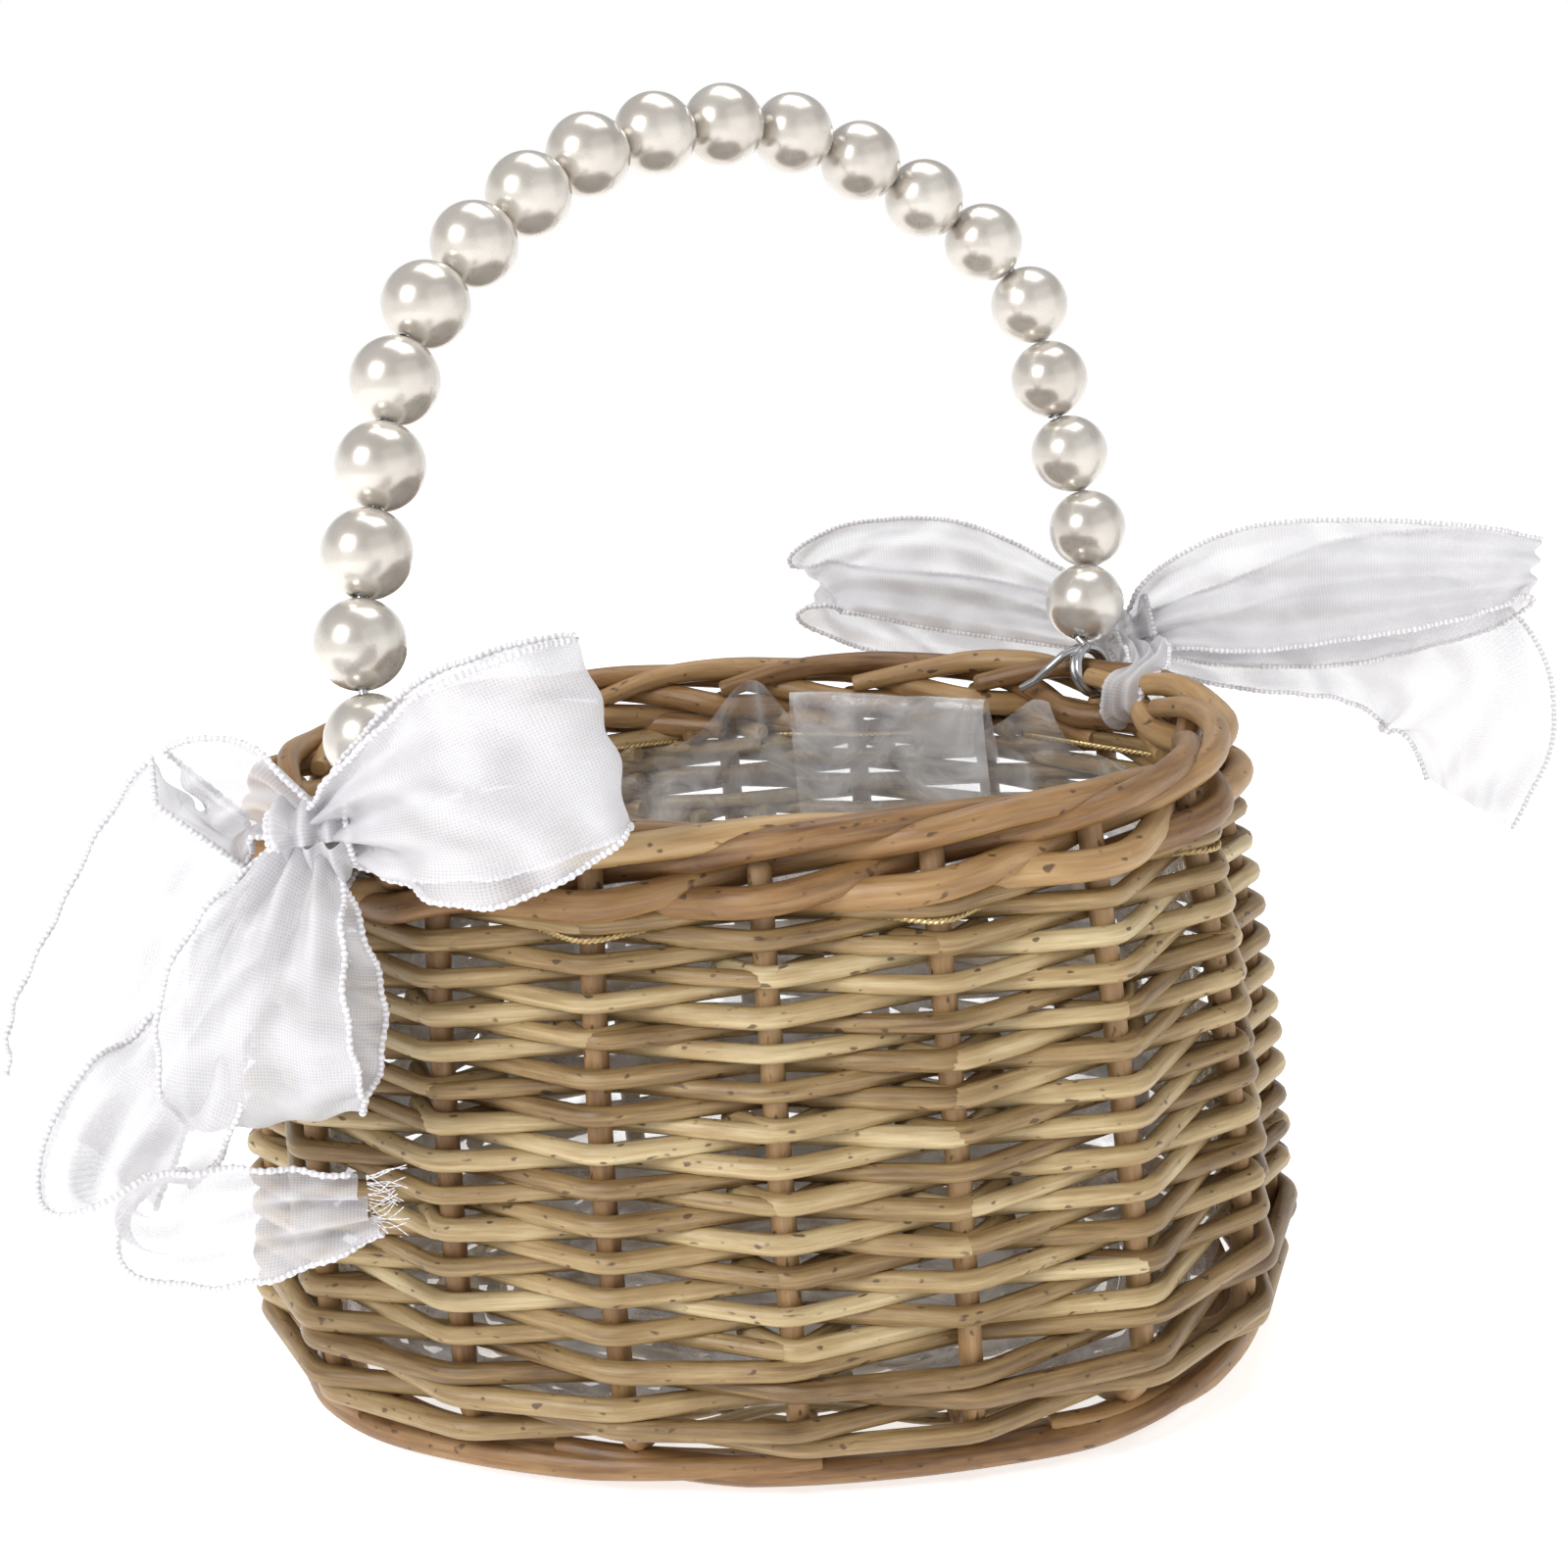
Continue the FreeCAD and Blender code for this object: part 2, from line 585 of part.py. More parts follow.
def foot_loop(foot, first_bend):
    """Two turns of wire round the top rod, and the cut tail that points into the basket."""
    leg = (first_bend - foot).normalize()
    bearing = size("left_foot_bearing") if foot is LEFT_FOOT else size("right_foot_bearing")
    along_rod = LEAN.multVec(UP.cross(normal(bearing)))
    across = (along_rod - leg * along_rod.dot(leg)).normalize()
    inward = across.cross(leg)
    if inward.dot(normal(bearing)) > 0:
        inward = inward * -1
    radius, wire = size("loop_radius"), size("wire_diameter") / 2
    turns = [Part.makeTorus(radius, wire, foot + across * (size("loop_shift") * side), across)
             for side in (-1, 1)]
    tail_turn = math.radians(size("tail_turn"))
    root = leg * math.cos(tail_turn) + inward * math.sin(tail_turn)
    heading = inward * math.cos(tail_turn) - leg * math.sin(tail_turn)
    start = foot + across * size("loop_shift") + root * radius
    tail = Part.makeCylinder(size("tail_diameter") / 2, size("tail_length"), start, heading)
    return turns + [tail]


def handle_wire():
    """One steel wire: loop, leg, arch through the beads, leg, loop."""
    points = [foot + (bend - foot).normalize() * size("loop_radius")
              for foot, bend in ((LEFT_FOOT, BENDS[0]), (RIGHT_FOOT, BENDS[-1]))]
    route = [points[0]] + BENDS + [points[1]]
    radii = []
    for index, vertex in enumerate(route):
        if index in (0, len(route) - 1):
            radii.append(0.0)
            continue
        turn = (vertex - route[index - 1]).getAngle(route[index + 1] - vertex)
        reach = size("end_bend_reach") if index in (1, len(route) - 2) else size("bend_reach")
        radii.append(reach / math.tan(turn / 2))
    path = rounded_path(route, radii, closed=False)
    wire = swept_rod(path, size("wire_diameter"))
    loops = foot_loop(LEFT_FOOT, BENDS[0]) + foot_loop(RIGHT_FOOT, BENDS[-1])
    return add_shape("handle_wire", wire.fuse(loops))


def bead(index):
    """A round bead with a hole along the wire."""
    number = "%02d" % (index + 1)
    ball = document.addObject("Part::Sphere", "ball_" + number)
    ball.setExpression("Radius", "Sizes.bead_diameter / 2")
    bore = bound_cylinder("bore_" + number, "Sizes.bead_bore / 2", "2 * Sizes.bead_diameter")
    bore.setExpression("Placement.Base.z", "-Sizes.bead_diameter")
    threaded = document.addObject("Part::Cut", "bead_" + number)
    threaded.Base = ball
    threaded.Tool = bore
    threaded.Label = "bead_" + number
    threaded.Placement = FreeCAD.Placement(CENTRES[index], FreeCAD.Rotation(UP, DIRECTIONS[index]))
    return threaded


def ribbon(label):
    """A plain closed solid that holds the place of one part of a ribbon bow."""
    centre, _, tilt = RIBBONS[label]
    piece = document.addObject("Part::Ellipsoid", label)
    for radius, axis in (("Radius2", "x"), ("Radius3", "y"), ("Radius1", "z")):
        piece.setExpression(radius, "Sizes.%s_half_%s" % (label, axis))
    piece.Angle1, piece.Angle2, piece.Angle3 = -90, 90, 360
    piece.Placement = FreeCAD.Placement(Vector(*centre), FreeCAD.Rotation(Vector(0, 1, 0), tilt))
    piece.Label = label
    return piece


# ---------------------------------------------------------------- the assembly

parts = [
    base_long_sticks(), base_short_sticks(), base_weave(), foot_border_rods(), side_stakes(), upsett_wale(),
    side_weavers("side_weavers_lower", 0),
    side_weavers("side_weavers_middle", int(size("weaver_rows_per_band"))),
    side_weavers("side_weavers_upper", 2 * int(size("weaver_rows_per_band"))),
    rim_border_rods(), rim_top_rod(), liner_film(), liner_cord(), handle_wire(),
]
parts += [bead(index) for index in range(len(BEAD_DIRECTIONS))]
parts += [ribbon(label) for label in RIBBONS]
document.recompute()

for item in document.Objects:
    if "Invalid" in item.State or "Error" in item.State:
        raise RuntimeError("%s did not recompute" % item.Label)
for part in parts:
    if part.Shape.isNull() or not part.Shape.isValid():
        raise RuntimeError("%s has no valid shape" % part.Label)

os.makedirs("parts", exist_ok=True)
for part in parts:
    part.Shape.exportStep("parts/%s.step" % part.Label)
    print("%-26s %3d solids %12.1f mm3" % (part.Label, len(part.Shape.Solids), part.Shape.Volume))
print("feet", [round(value, 2) for foot in (LEFT_FOOT, RIGHT_FOOT) for value in foot])
print("foot line", [round(value, 4) for value in FOOT_LINE])
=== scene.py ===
"""Flower girl basket: woven willow, a clear film lining laced in with gold twine, a wire handle
threaded with pearl beads, and an organza bow at each handle foot.

Metres, +Z up, the longer side along X.  Levels and offsets below are written in millimetres times MM.
"""
import math

import bpy
import numpy as np
from mathutils import Matrix, Vector
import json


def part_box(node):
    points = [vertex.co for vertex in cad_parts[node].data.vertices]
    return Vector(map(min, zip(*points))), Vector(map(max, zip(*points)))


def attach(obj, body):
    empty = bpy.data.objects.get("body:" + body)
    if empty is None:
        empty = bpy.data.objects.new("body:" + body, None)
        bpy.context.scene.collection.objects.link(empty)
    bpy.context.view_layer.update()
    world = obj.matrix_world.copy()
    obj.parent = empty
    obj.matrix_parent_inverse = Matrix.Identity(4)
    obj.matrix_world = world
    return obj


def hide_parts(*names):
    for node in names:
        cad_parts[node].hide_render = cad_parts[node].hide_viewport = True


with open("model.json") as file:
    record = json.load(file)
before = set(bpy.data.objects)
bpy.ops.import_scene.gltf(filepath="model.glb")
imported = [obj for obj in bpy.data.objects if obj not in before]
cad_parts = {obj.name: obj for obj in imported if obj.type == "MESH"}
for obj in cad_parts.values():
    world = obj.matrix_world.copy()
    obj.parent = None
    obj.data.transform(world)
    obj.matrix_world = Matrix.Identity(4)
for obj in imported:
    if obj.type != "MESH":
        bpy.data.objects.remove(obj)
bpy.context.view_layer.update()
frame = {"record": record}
MM = 0.001
rng = np.random.default_rng(11)

# ---------------------------------------------------------------- side stakes
# Eighteen peeled willow stakes, pushed into the base, turned up round the base edge and cut off
# inside the border.  The rest of the basket is woven round them, so the oval plan is set out here.

rim_low, rim_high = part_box("rim_top_rod")
TOP_ROD_RADIUS = (rim_high[2] - rim_low[2]) / 2
RIM_LEVEL = (rim_high[2] + rim_low[2]) / 2
HALF_LENGTH = rim_high[0] - TOP_ROD_RADIUS
HALF_WIDTH = rim_high[1] - TOP_ROD_RADIUS
CORNER_RADIUS = 48 * MM
CORNER_CENTRE = (36.7 * MM, 13.1 * MM)
STAKES = 18
STAKE_RADIUS = 2.2 * MM
TURN_RADIUS = 10.8 * MM
TURN_OFFSET = -2.5 * MM
TAIL_LEVEL = 8.6 * MM
TAIL_INSET = 20 * MM
LEAN_LEVEL = 20 * MM
WALL_TOP = 110.9 * MM


def oval_arcs():
    """The oval's eight tangent arcs: centre, radius, first bearing, last bearing, from the front."""
    cx, cy = CORNER_CENTRE
    tall, long = HALF_WIDTH - cy, HALF_LENGTH - cx
    side = (cx**2 + tall**2 - CORNER_RADIUS**2) / (2 * (tall - CORNER_RADIUS))
    end = (cy**2 + long**2 - CORNER_RADIUS**2) / (2 * (long - CORNER_RADIUS))
    side_turn, end_turn = math.atan2(cx, side - tall), math.atan2(cy, end - long)
    arcs = []
    for quarter, (reach, radius, turn, after) in enumerate(
            [(HALF_WIDTH, side, side_turn, end_turn), (HALF_LENGTH, end, end_turn, side_turn)] * 2):
        middle = (quarter - 1) * math.pi / 2
        outward = np.array([math.cos(middle), math.sin(middle)])
        arcs.append((outward * (reach - radius), radius, middle - turn, middle + turn))
        corner = np.array([math.copysign(cx, math.cos(middle + math.pi / 4)),
                           math.copysign(cy, math.sin(middle + math.pi / 4))])
        arcs.append((corner, CORNER_RADIUS, middle + turn, middle + math.pi / 2 - after))
    return arcs


ARCS = oval_arcs()
ARC_ENDS = np.cumsum([radius * (last - first) for _, radius, first, last in ARCS])
ROUND = ARC_ENDS[-1]
FRONT = ARC_ENDS[0] / 2


def plan(place):
    """Points of the rim oval and their outward directions; place counts stakes, and stake 0 stands
    half a space to the right of the front's middle."""
    along = (FRONT + (np.asarray(place, float) + 0.5) * ROUND / STAKES) % ROUND
    index = np.minimum(np.searchsorted(ARC_ENDS, along, side="right"), len(ARCS) - 1)
    centres = np.array([arc[0] for arc in ARCS])[index]
    radii = np.array([arc[1] for arc in ARCS])[index]
    first = np.array([arc[2] for arc in ARCS])[index]
    begin = np.concatenate([[0], ARC_ENDS[:-1]])[index]
    bearing = first + (along - begin) / radii
    outward = np.stack([np.cos(bearing), np.sin(bearing)], axis=-1)
    return centres + outward * radii[..., None], outward


def wall_point(place, offset, level):
    """Points at an offset outside the rim oval and a level, as an array of three columns."""
    point, outward = plan(place)
    point = point + outward * np.asarray(offset, float)[..., None]
    level = np.broadcast_to(np.asarray(level, float), point.shape[:-1])
    return np.concatenate([point, level[..., None]], axis=-1)


def wall_offset(level):
    """How far outside the rim oval a stake's centre stands at a level."""
    level = np.asarray(level, float)
    swell = TURN_OFFSET + TURN_RADIUS
    rise = WALL_TOP - LEAN_LEVEL
    lean = (rise**2 + swell**2) / (2 * swell)
    turn_centre = TAIL_LEVEL + TURN_RADIUS
    drop = np.clip(turn_centre - level, 0, TURN_RADIUS)
    low = TURN_OFFSET + np.sqrt(TURN_RADIUS**2 - drop**2)
    above = np.clip(level - LEAN_LEVEL, 0, None)
    high = swell - lean + np.sqrt(lean**2 - above**2)
    return np.where(level < turn_centre, low, high)


def smooth_path(corners, reach, steps=4):
    """Straight runs between corners, each corner rounded over a share of its shorter run."""
    corners = np.asarray(corners, float)
    path = [corners[0]]
    for before, corner, after in zip(corners, corners[1:], corners[2:]):
        into, out = corner - before, after - corner
        near = min(np.linalg.norm(into), np.linalg.norm(out))
        cut = min(reach, 0.45 * near)
        enter = corner - into / np.linalg.norm(into) * cut
        leave = corner + out / np.linalg.norm(out) * cut
        for step in np.linspace(0, 1, steps):
            path.append(enter * (1 - step)**2 + corner * 2 * step * (1 - step) + leave * step**2)
    path.append(corners[-1])
    return np.array(path)


def even_path(path, spacing):
    """The same path with points added so that none are further apart than spacing."""
    out = [path[0]]
    for start, end in zip(path, path[1:]):
        count = max(1, math.ceil(np.linalg.norm(end - start) / spacing))
        out += [start + (end - start) * (k + 1) / count for k in range(count)]
    return np.array(out)


def curve_through(points, count):
    """A smooth curve through a few points (Catmull-Rom), as evenly counted samples of any columns."""
    points = np.asarray(points, float)
    padded = np.concatenate([2 * points[:1] - points[1:2], points, 2 * points[-1:] - points[-2:-1]])
    span = np.linspace(0, len(points) - 1, count)
    index = np.minimum(span.astype(int), len(points) - 2)
    u = (span - index)[:, None]
    p0, p1, p2, p3 = (padded[index + k] for k in range(4))
    return 0.5 * (2 * p1 + (p2 - p0) * u + (2 * p0 - 5 * p1 + 4 * p2 - p3) * u**2
                  + (3 * p1 - p0 - 3 * p2 + p3) * u**3)


class Rods:
    """The rods of one piece, gathered into one mesh with a grain map and a tone for each rod."""

    def __init__(self):
        self.points, self.faces, self.grain, self.tones = [], [], [], []

    def add(self, path, radii, tone, sides=10, reference=(0, 0, 1), cut=0.82):
        """A round rod along a path; its ends are cut, with the edge taken off."""
        path = np.asarray(path, float)
        radii = np.broadcast_to(np.asarray(radii, float), len(path)).copy()
        along = np.gradient(path, axis=0)
        along /= np.linalg.norm(along, axis=1)[:, None]
        side = np.cross(along, np.asarray(reference, float))
        side /= np.linalg.norm(side, axis=1)[:, None]
        rise = np.cross(side, along)
        chamfer = radii[0] * 0.3, radii[-1] * 0.3
        tip, butt = path[:1] - along[:1] * chamfer[0], path[-1:] + along[-1:] * chamfer[1]
        path = np.concatenate([tip, path, butt])
        radii = np.concatenate([[radii[0] * cut], radii, [radii[-1] * cut]])
        side = np.concatenate([side[:1], side, side[-1:]])
        rise = np.concatenate([rise[:1], rise, rise[-1:]])
        turn = np.arange(sides) * 2 * math.pi / sides
        ring = (side[:, None] * np.cos(turn)[None, :, None] + rise[:, None] * np.sin(turn)[None, :, None])
        points = (path[:, None] + ring * radii[:, None, None]).reshape(-1, 3)
        length = np.concatenate([[0], np.cumsum(np.linalg.norm(np.diff(path, axis=0), axis=1))])
        length += rng.uniform(0, 5)
        base = sum(len(block) for block in self.points)
        count = len(path)
        k = np.arange(sides)
        for row in range(count - 1):
            for a in k:
                b = (a + 1) % sides
                low, high = base + row * sides, base + (row + 1) * sides
                self.faces.append((low + a, low + b, high + b, high + a))
                v0, v1 = a / sides, (a + 1) / sides
                start, end = length[row], length[row + 1]
                self.grain += [(start, v0), (start, v1), (end, v1), (end, v0)]
        self.faces.append(tuple(base + k[::-1]))
        self.grain += [(length[0], 0.5 + 0.1 * math.cos(angle)) for angle in turn[::-1]]
        self.faces.append(tuple(base + (count - 1) * sides + k))
        self.grain += [(length[-1], 0.5 + 0.1 * math.cos(angle)) for angle in turn]
        self.points.append(points)
        self.tones += [tone] * len(points)

    def piece(self, name, material, slot, body, *nodes):
        """The finished object, riding on its body in place of the nodes named."""
        mesh = bpy.data.meshes.new(name)
        mesh.from_pydata(np.concatenate(self.points).tolist(), [], self.faces)
        grain = mesh.uv_layers.new(name="grain")
        grain.data.foreach_set("uv", np.array(self.grain, float).ravel())
        tone = mesh.attributes.new("tone", "FLOAT", "POINT")
        tone.data.foreach_set("value", self.tones)
        mesh.shade_smooth()
        mesh.set_sharp_from_angle(angle=math.radians(55))
        return finished(name, mesh, material, slot, body, *nodes)


def finished(name, mesh, material, slot, body, *nodes):
    """An object made from a mesh, in its material, riding on a body in place of some nodes."""
    piece = bpy.data.objects.new(name, mesh)
    bpy.context.collection.objects.link(piece)
    mesh.materials.append(material)
    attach(piece, body)
    if nodes:
        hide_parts(*nodes)
    return piece


def new_material(name):
    """A material with its node tree, its principled shader and a short way to add and join nodes."""
    material = bpy.data.materials.new(name)
    material.use_nodes = True
    tree = material.node_tree
    shader = tree.nodes["Principled BSDF"]

    def node(kind, inputs=None, **settings):
        made = tree.nodes.new(kind)
        for key, value in settings.items():
            setattr(made, key, value)
        for key, value in (inputs or {}).items():
            if isinstance(value, bpy.types.NodeSocket):
                tree.links.new(value, made.inputs[key])
            else:
                made.inputs[key].default_value = value
        return made

    return material, tree, shader, node


def ramp(node, factor, stops):
    """A colour ramp with the given stops."""
    made = node("ShaderNodeValToRGB", {"Fac": factor})
    elements = made.color_ramp.elements
    while len(elements) < len(stops):
        elements.new(0.5)
    for element, (position, colour) in zip(elements, stops):
        element.position = position
        element.color = (*colour, 1)
    return made.outputs["Color"]


def willow(name, shades, gloss):
    """Peeled willow: streaks along the rod, blotches, dark flecks and a soft sheen."""
    material, tree, shader, node = new_material(name)
    grain = node("ShaderNodeUVMap", uv_map="grain").outputs["UV"]
    streak_map = node("ShaderNodeMapping", {"Vector": grain, "Scale": (60, 9, 1)}).outputs["Vector"]
    streak = node("ShaderNodeTexNoise", {"Vector": streak_map, "Scale": 1.0, "Detail": 6.0,
                                         "Roughness": 0.62}).outputs["Fac"]
    fine_map = node("ShaderNodeMapping", {"Vector": grain, "Scale": (220, 60, 1)}).outputs["Vector"]
    fine = node("ShaderNodeTexNoise", {"Vector": fine_map, "Scale": 1.0, "Detail": 3.0}).outputs["Fac"]
    place = node("ShaderNodeTexCoord").outputs["Object"]
    blotch = node("ShaderNodeTexNoise", {"Vector": place, "Scale": 55.0, "Detail": 4.0}).outputs["Fac"]
    tone = node("ShaderNodeAttribute", attribute_name="tone").outputs["Fac"]
    mixed = node("ShaderNodeMath", {0: streak, 1: 1.0}, operation="MULTIPLY").outputs[0]
    mixed = node("ShaderNodeMath", {0: blotch, 1: 0.45, 2: mixed}, operation="MULTIPLY_ADD").outputs[0]
    mixed = node("ShaderNodeMath", {0: tone, 1: 0.5, 2: mixed}, operation="MULTIPLY_ADD").outputs[0]
    mixed = node("ShaderNodeMath", {0: mixed, 1: 0.48}, operation="SUBTRACT").outputs[0]
    colour = ramp(node, mixed, list(zip((0.12, 0.38, 0.62, 0.9), shades)))
    fleck_map = node("ShaderNodeMapping", {"Vector": grain, "Scale": (330, 7, 1)}).outputs["Vector"]
    fleck = node("ShaderNodeTexNoise", {"Vector": fleck_map, "Scale": 1.0, "Detail": 1.0}).outputs["Fac"]
    fleck = node("ShaderNodeMapRange", {"Value": fleck, "From Min": 0.665, "From Max": 0.73,
                                        "To Max": 0.8}).outputs["Result"]
    dark = node("ShaderNodeMix", {0: fleck, 6: colour, 7: (0.06, 0.03, 0.015, 1)}, data_type="RGBA")
    tree.links.new(dark.outputs[2], shader.inputs["Base Color"])
    rough = node("ShaderNodeMapRange", {"Value": streak, "From Min": 0.3, "From Max": 0.7,
                                        "To Min": gloss, "To Max": gloss + 0.18}).outputs["Result"]
    tree.links.new(rough, shader.inputs["Roughness"])
    height = node("ShaderNodeMath", {0: fine, 1: 0.4, 2: streak}, operation="MULTIPLY_ADD").outputs[0]
    height = node("ShaderNodeMath", {0: height, 1: fleck}, operation="SUBTRACT").outputs[0]
    bump = node("ShaderNodeBump", {"Height": height, "Strength": 0.35, "Distance": 0.0004})
    tree.links.new(bump.outputs["Normal"], shader.inputs["Normal"])
    shader.inputs["Specular IOR Level"].default_value = 0.5
    return material


weaver_willow = willow("weaver_willow", [(0.11, 0.058, 0.022), (0.26, 0.165, 0.068), (0.42, 0.30, 0.145),
                                         (0.63, 0.52, 0.31)], 0.30)
stake_willow = willow("stake_willow", [(0.13, 0.06, 0.022), (0.25, 0.135, 0.055), (0.36, 0.215, 0.095),
                                       (0.46, 0.31, 0.16)], 0.40)
border_willow = willow("border_rods_willow", [(0.13, 0.06, 0.022), (0.27, 0.145, 0.055),
                                              (0.39, 0.235, 0.10), (0.52, 0.36, 0.18)], 0.32)


def uneven(count, size=0.04, waves=6):
    """A slow random swell and thinning along a rod, about 1."""
    knots = rng.uniform(-size, size, waves)
    return 1 + np.interp(np.linspace(0, waves - 1, count), np.arange(waves), knots)


stakes = Rods()
for index in range(STAKES):
    top = rng.uniform(111.2, 112.6) * MM
    levels = np.linspace(LEAN_LEVEL, top, 22)
    turn = np.linspace(-math.pi / 2, 0, 8)[1:]
    tail = [(-TAIL_INSET, TAIL_LEVEL), (TURN_OFFSET, TAIL_LEVEL)]
    bend = [(TURN_OFFSET + TURN_RADIUS * math.cos(a), TAIL_LEVEL + TURN_RADIUS * (1 + math.sin(a)))
            for a in turn]
    wall = [(wall_offset(level), level) for level in levels]
    line = np.array(tail + bend + wall)
    sway = np.interp(line[:, 1], [20 * MM, 60 * MM, 114 * MM], [0, rng.uniform(-0.02, 0.02), 0])
    path = wall_point(index + sway, line[:, 0], line[:, 1])
    across = np.append(plan(index)[1][::-1] * (-1, 1), 0)
    stakes.add(path, STAKE_RADIUS * 0.96 * uneven(len(path)), rng.uniform(0.2, 0.8), sides=12,
               reference=across)
stakes.piece("stakes", stake_willow, "willow", "root", "side_stakes")

# ---------------------------------------------------------------- upsett
# Five rounds of thicker rods over the turn of the stakes: each stroke passes outside two stakes and
# inside the third, and the rods are laid end to end.

WALE_RADIUS = 2.0 * MM
WALE_LEVEL, WALE_PITCH, WALE_ROWS = 13.1 * MM, 3.74 * MM, 5
ROD_GAP = 0.12 * MM


def woven_round(rods, level, radius, pattern, shift, pieces, taper, stray):
    """One round of weaving, made of a few rods that taper and tuck in behind a stake at each end."""
    starts = np.sort(rng.choice(STAKES // 2, pieces, replace=False)) * 2 + shift % 2
    spans = np.diff(np.append(starts, starts[0] + STAKES))
    for start, span in zip(starts, spans):
        stops = np.arange(start, start + span + 1)
        middles = stops[:-1] + 0.5
        side = np.array([pattern[(stop + shift) % len(pattern)] for stop in stops])
        strays = rng.normal(0, stray, len(stops))
        levels = level + strays
        reach = STAKE_RADIUS + radius + ROD_GAP
        offsets = wall_offset(levels) + side * reach
        corners = wall_point(stops, offsets, levels)
        ends = wall_point(np.array([start - 0.28, start + span + 0.3]),
                          wall_offset(level) - reach + np.array([-0.3, -1.4]) * MM, level)
        corners = np.concatenate([ends[:1], corners, ends[1:]])
        path = even_path(smooth_path(corners, 3.2 * MM, 5), 2.6 * MM)
        thickness = np.linspace(1 + taper, 1 - taper, len(path)) * uneven(len(path), 0.05, 14)
        if rng.random() < 0.35:
            thickness = thickness[::-1]
        rods.add(path, radius * thickness, rng.uniform(0, 1))


wale = Rods()
for row in range(WALE_ROWS):
    woven_round(wale, WALE_LEVEL + row * WALE_PITCH, WALE_RADIUS, (1, 1, -1), row, 3, 0.10, 0.22 * MM)
wale.piece("upsett", weaver_willow, "willow", "root", "upsett_wale")

# ---------------------------------------------------------------- side weaving
# Twenty-four rounds of thin rods, in front of one stake and behind the next, in three bands.

WEAVER_RADIUS = 1.76 * MM
WEAVER_LEVEL, WEAVER_PITCH, WEAVER_ROWS = 31.4 * MM, 3.15 * MM, 8

for band, label in enumerate(("lower", "middle", "upper")):
    weavers = Rods()
    for row in range(band * WEAVER_ROWS, (band + 1) * WEAVER_ROWS):
        woven_round(weavers, WEAVER_LEVEL + row * WEAVER_PITCH, WEAVER_RADIUS, (1, -1), row, 3, 0.12,
                    0.20 * MM)
    weavers.piece("weaving_" + label, weaver_willow, "willow", "root", "side_weavers_" + label)

# ---------------------------------------------------------------- border
# The stakes' own tips, bent to the right into a rolled border: each rod passes in front of one
# stake, behind the next, then climbs over the rim and lies along the top.

BORDER_RADIUS = 2.55 * MM
BORDER_STEPS = 90
FOOT_REACH = 9 * MM
SPACE = ROUND / STAKES
joints = {joint["name"]: joint for joint in frame["record"]["behaviour"]["joints"]}
foot_line = np.array(joints["handle_rock"]["axis"])
foot_middle = np.array(joints["handle_rock"]["pos_m"])


def foot_place(side):
    """Where along the stakes the hinge line of the handle crosses the rim, on one side."""
    places = np.linspace(0, STAKES, 7201)
    away = wall_point(places, 0 * places, RIM_LEVEL) - foot_middle
    along = away @ foot_line
    off_line = np.linalg.norm(away - along[:, None] * foot_line, axis=1)
    return places[np.argmin(np.where(along * side > 0, off_line, 1.0))]


FOOT_PLACES = [foot_place(-1), foot_place(1)]
LEFT_FOOT, RIGHT_FOOT = (wall_point(np.array(place), 0, RIM_LEVEL) for place in FOOT_PLACES)

# each rod's line: stakes passed, offset from the wall and level; the second line is the flatter one
# that it takes where the handle wire is wound on
border_line = [(0.02, -4.4, 104.8), (0.5, 0.2, 106.4), (1.0, 4.7, 107.6), (1.5, 1.0, 108.6),
               (2.0, -4.6, 110.4), (2.5, -1.5, 113.0), (3.0, 2.9, 115.4), (3.5, 2.2, 116.9),
               (4.0, 0.2, 117.6), (4.5, -2.6, 116.6), (4.95, -4.9, 114.2)]
passing_line = [(0.02, -4.4, 103.6), (0.5, 0.2, 104.8), (1.0, 5.3, 105.4), (1.5, 2.0, 106.4),
                (2.0, -5.0, 108.6), (2.5, -4.0, 109.6), (3.0, 6.3, 110.6), (3.5, 4.0, 113.8),
                (4.0, 0.0, 117.2), (4.5, 0.0, 117.2), (4.95, -3.4, 117.0)]

border = Rods()
for index in range(STAKES):
    line = np.array(border_line) + rng.normal(0, 1, (len(border_line), 3)) * (0.03, 0.22, 0.25)
    steps = curve_through(line, BORDER_STEPS)
    places, offsets, levels = index + steps[:, 0], steps[:, 1] * MM, steps[:, 2] * MM
    easy = curve_through(passing_line, BORDER_STEPS)
    for place in FOOT_PLACES:
        away = (places - place + STAKES / 2) % STAKES - STAKES / 2
        near = np.exp(-(away * SPACE / FOOT_REACH) ** 2)
        offsets = offsets * (1 - near) + easy[:, 1] * MM * near
        levels = levels * (1 - near) + easy[:, 2] * MM * near
    path = wall_point(places, wall_offset(np.minimum(levels, WALL_TOP)) + offsets, levels)
    thick = np.interp(np.linspace(0, 1, BORDER_STEPS), [0, 0.1, 0.75, 1], [1.0, 1.08, 0.98, 0.72])
    thick = thick * uneven(BORDER_STEPS, 0.04, 8)
    border.add(path, BORDER_RADIUS * thick, rng.uniform(0, 1), sides=14)
border.piece("border", border_willow, "border_willow", "root", "rim_border_rods", "rim_top_rod")

# ---------------------------------------------------------------- foot
# Two rods' worth of border round the underside, laid as long strokes that tuck under each other;
# the inner one carries the basket and is worn flat.

foot_low, foot_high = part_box("foot_border_rods")
FOOT_ROD_RADIUS, FOOT_ROD_OFFSET = 2.9 * MM, -1.5 * MM
EDGE_ROD_RADIUS, EDGE_ROD_OFFSET, EDGE_ROD_LEVEL = 2.6 * MM, 5.2 * MM, 5.5 * MM
STROKE = 4.6
STROKE_STEPS = 60

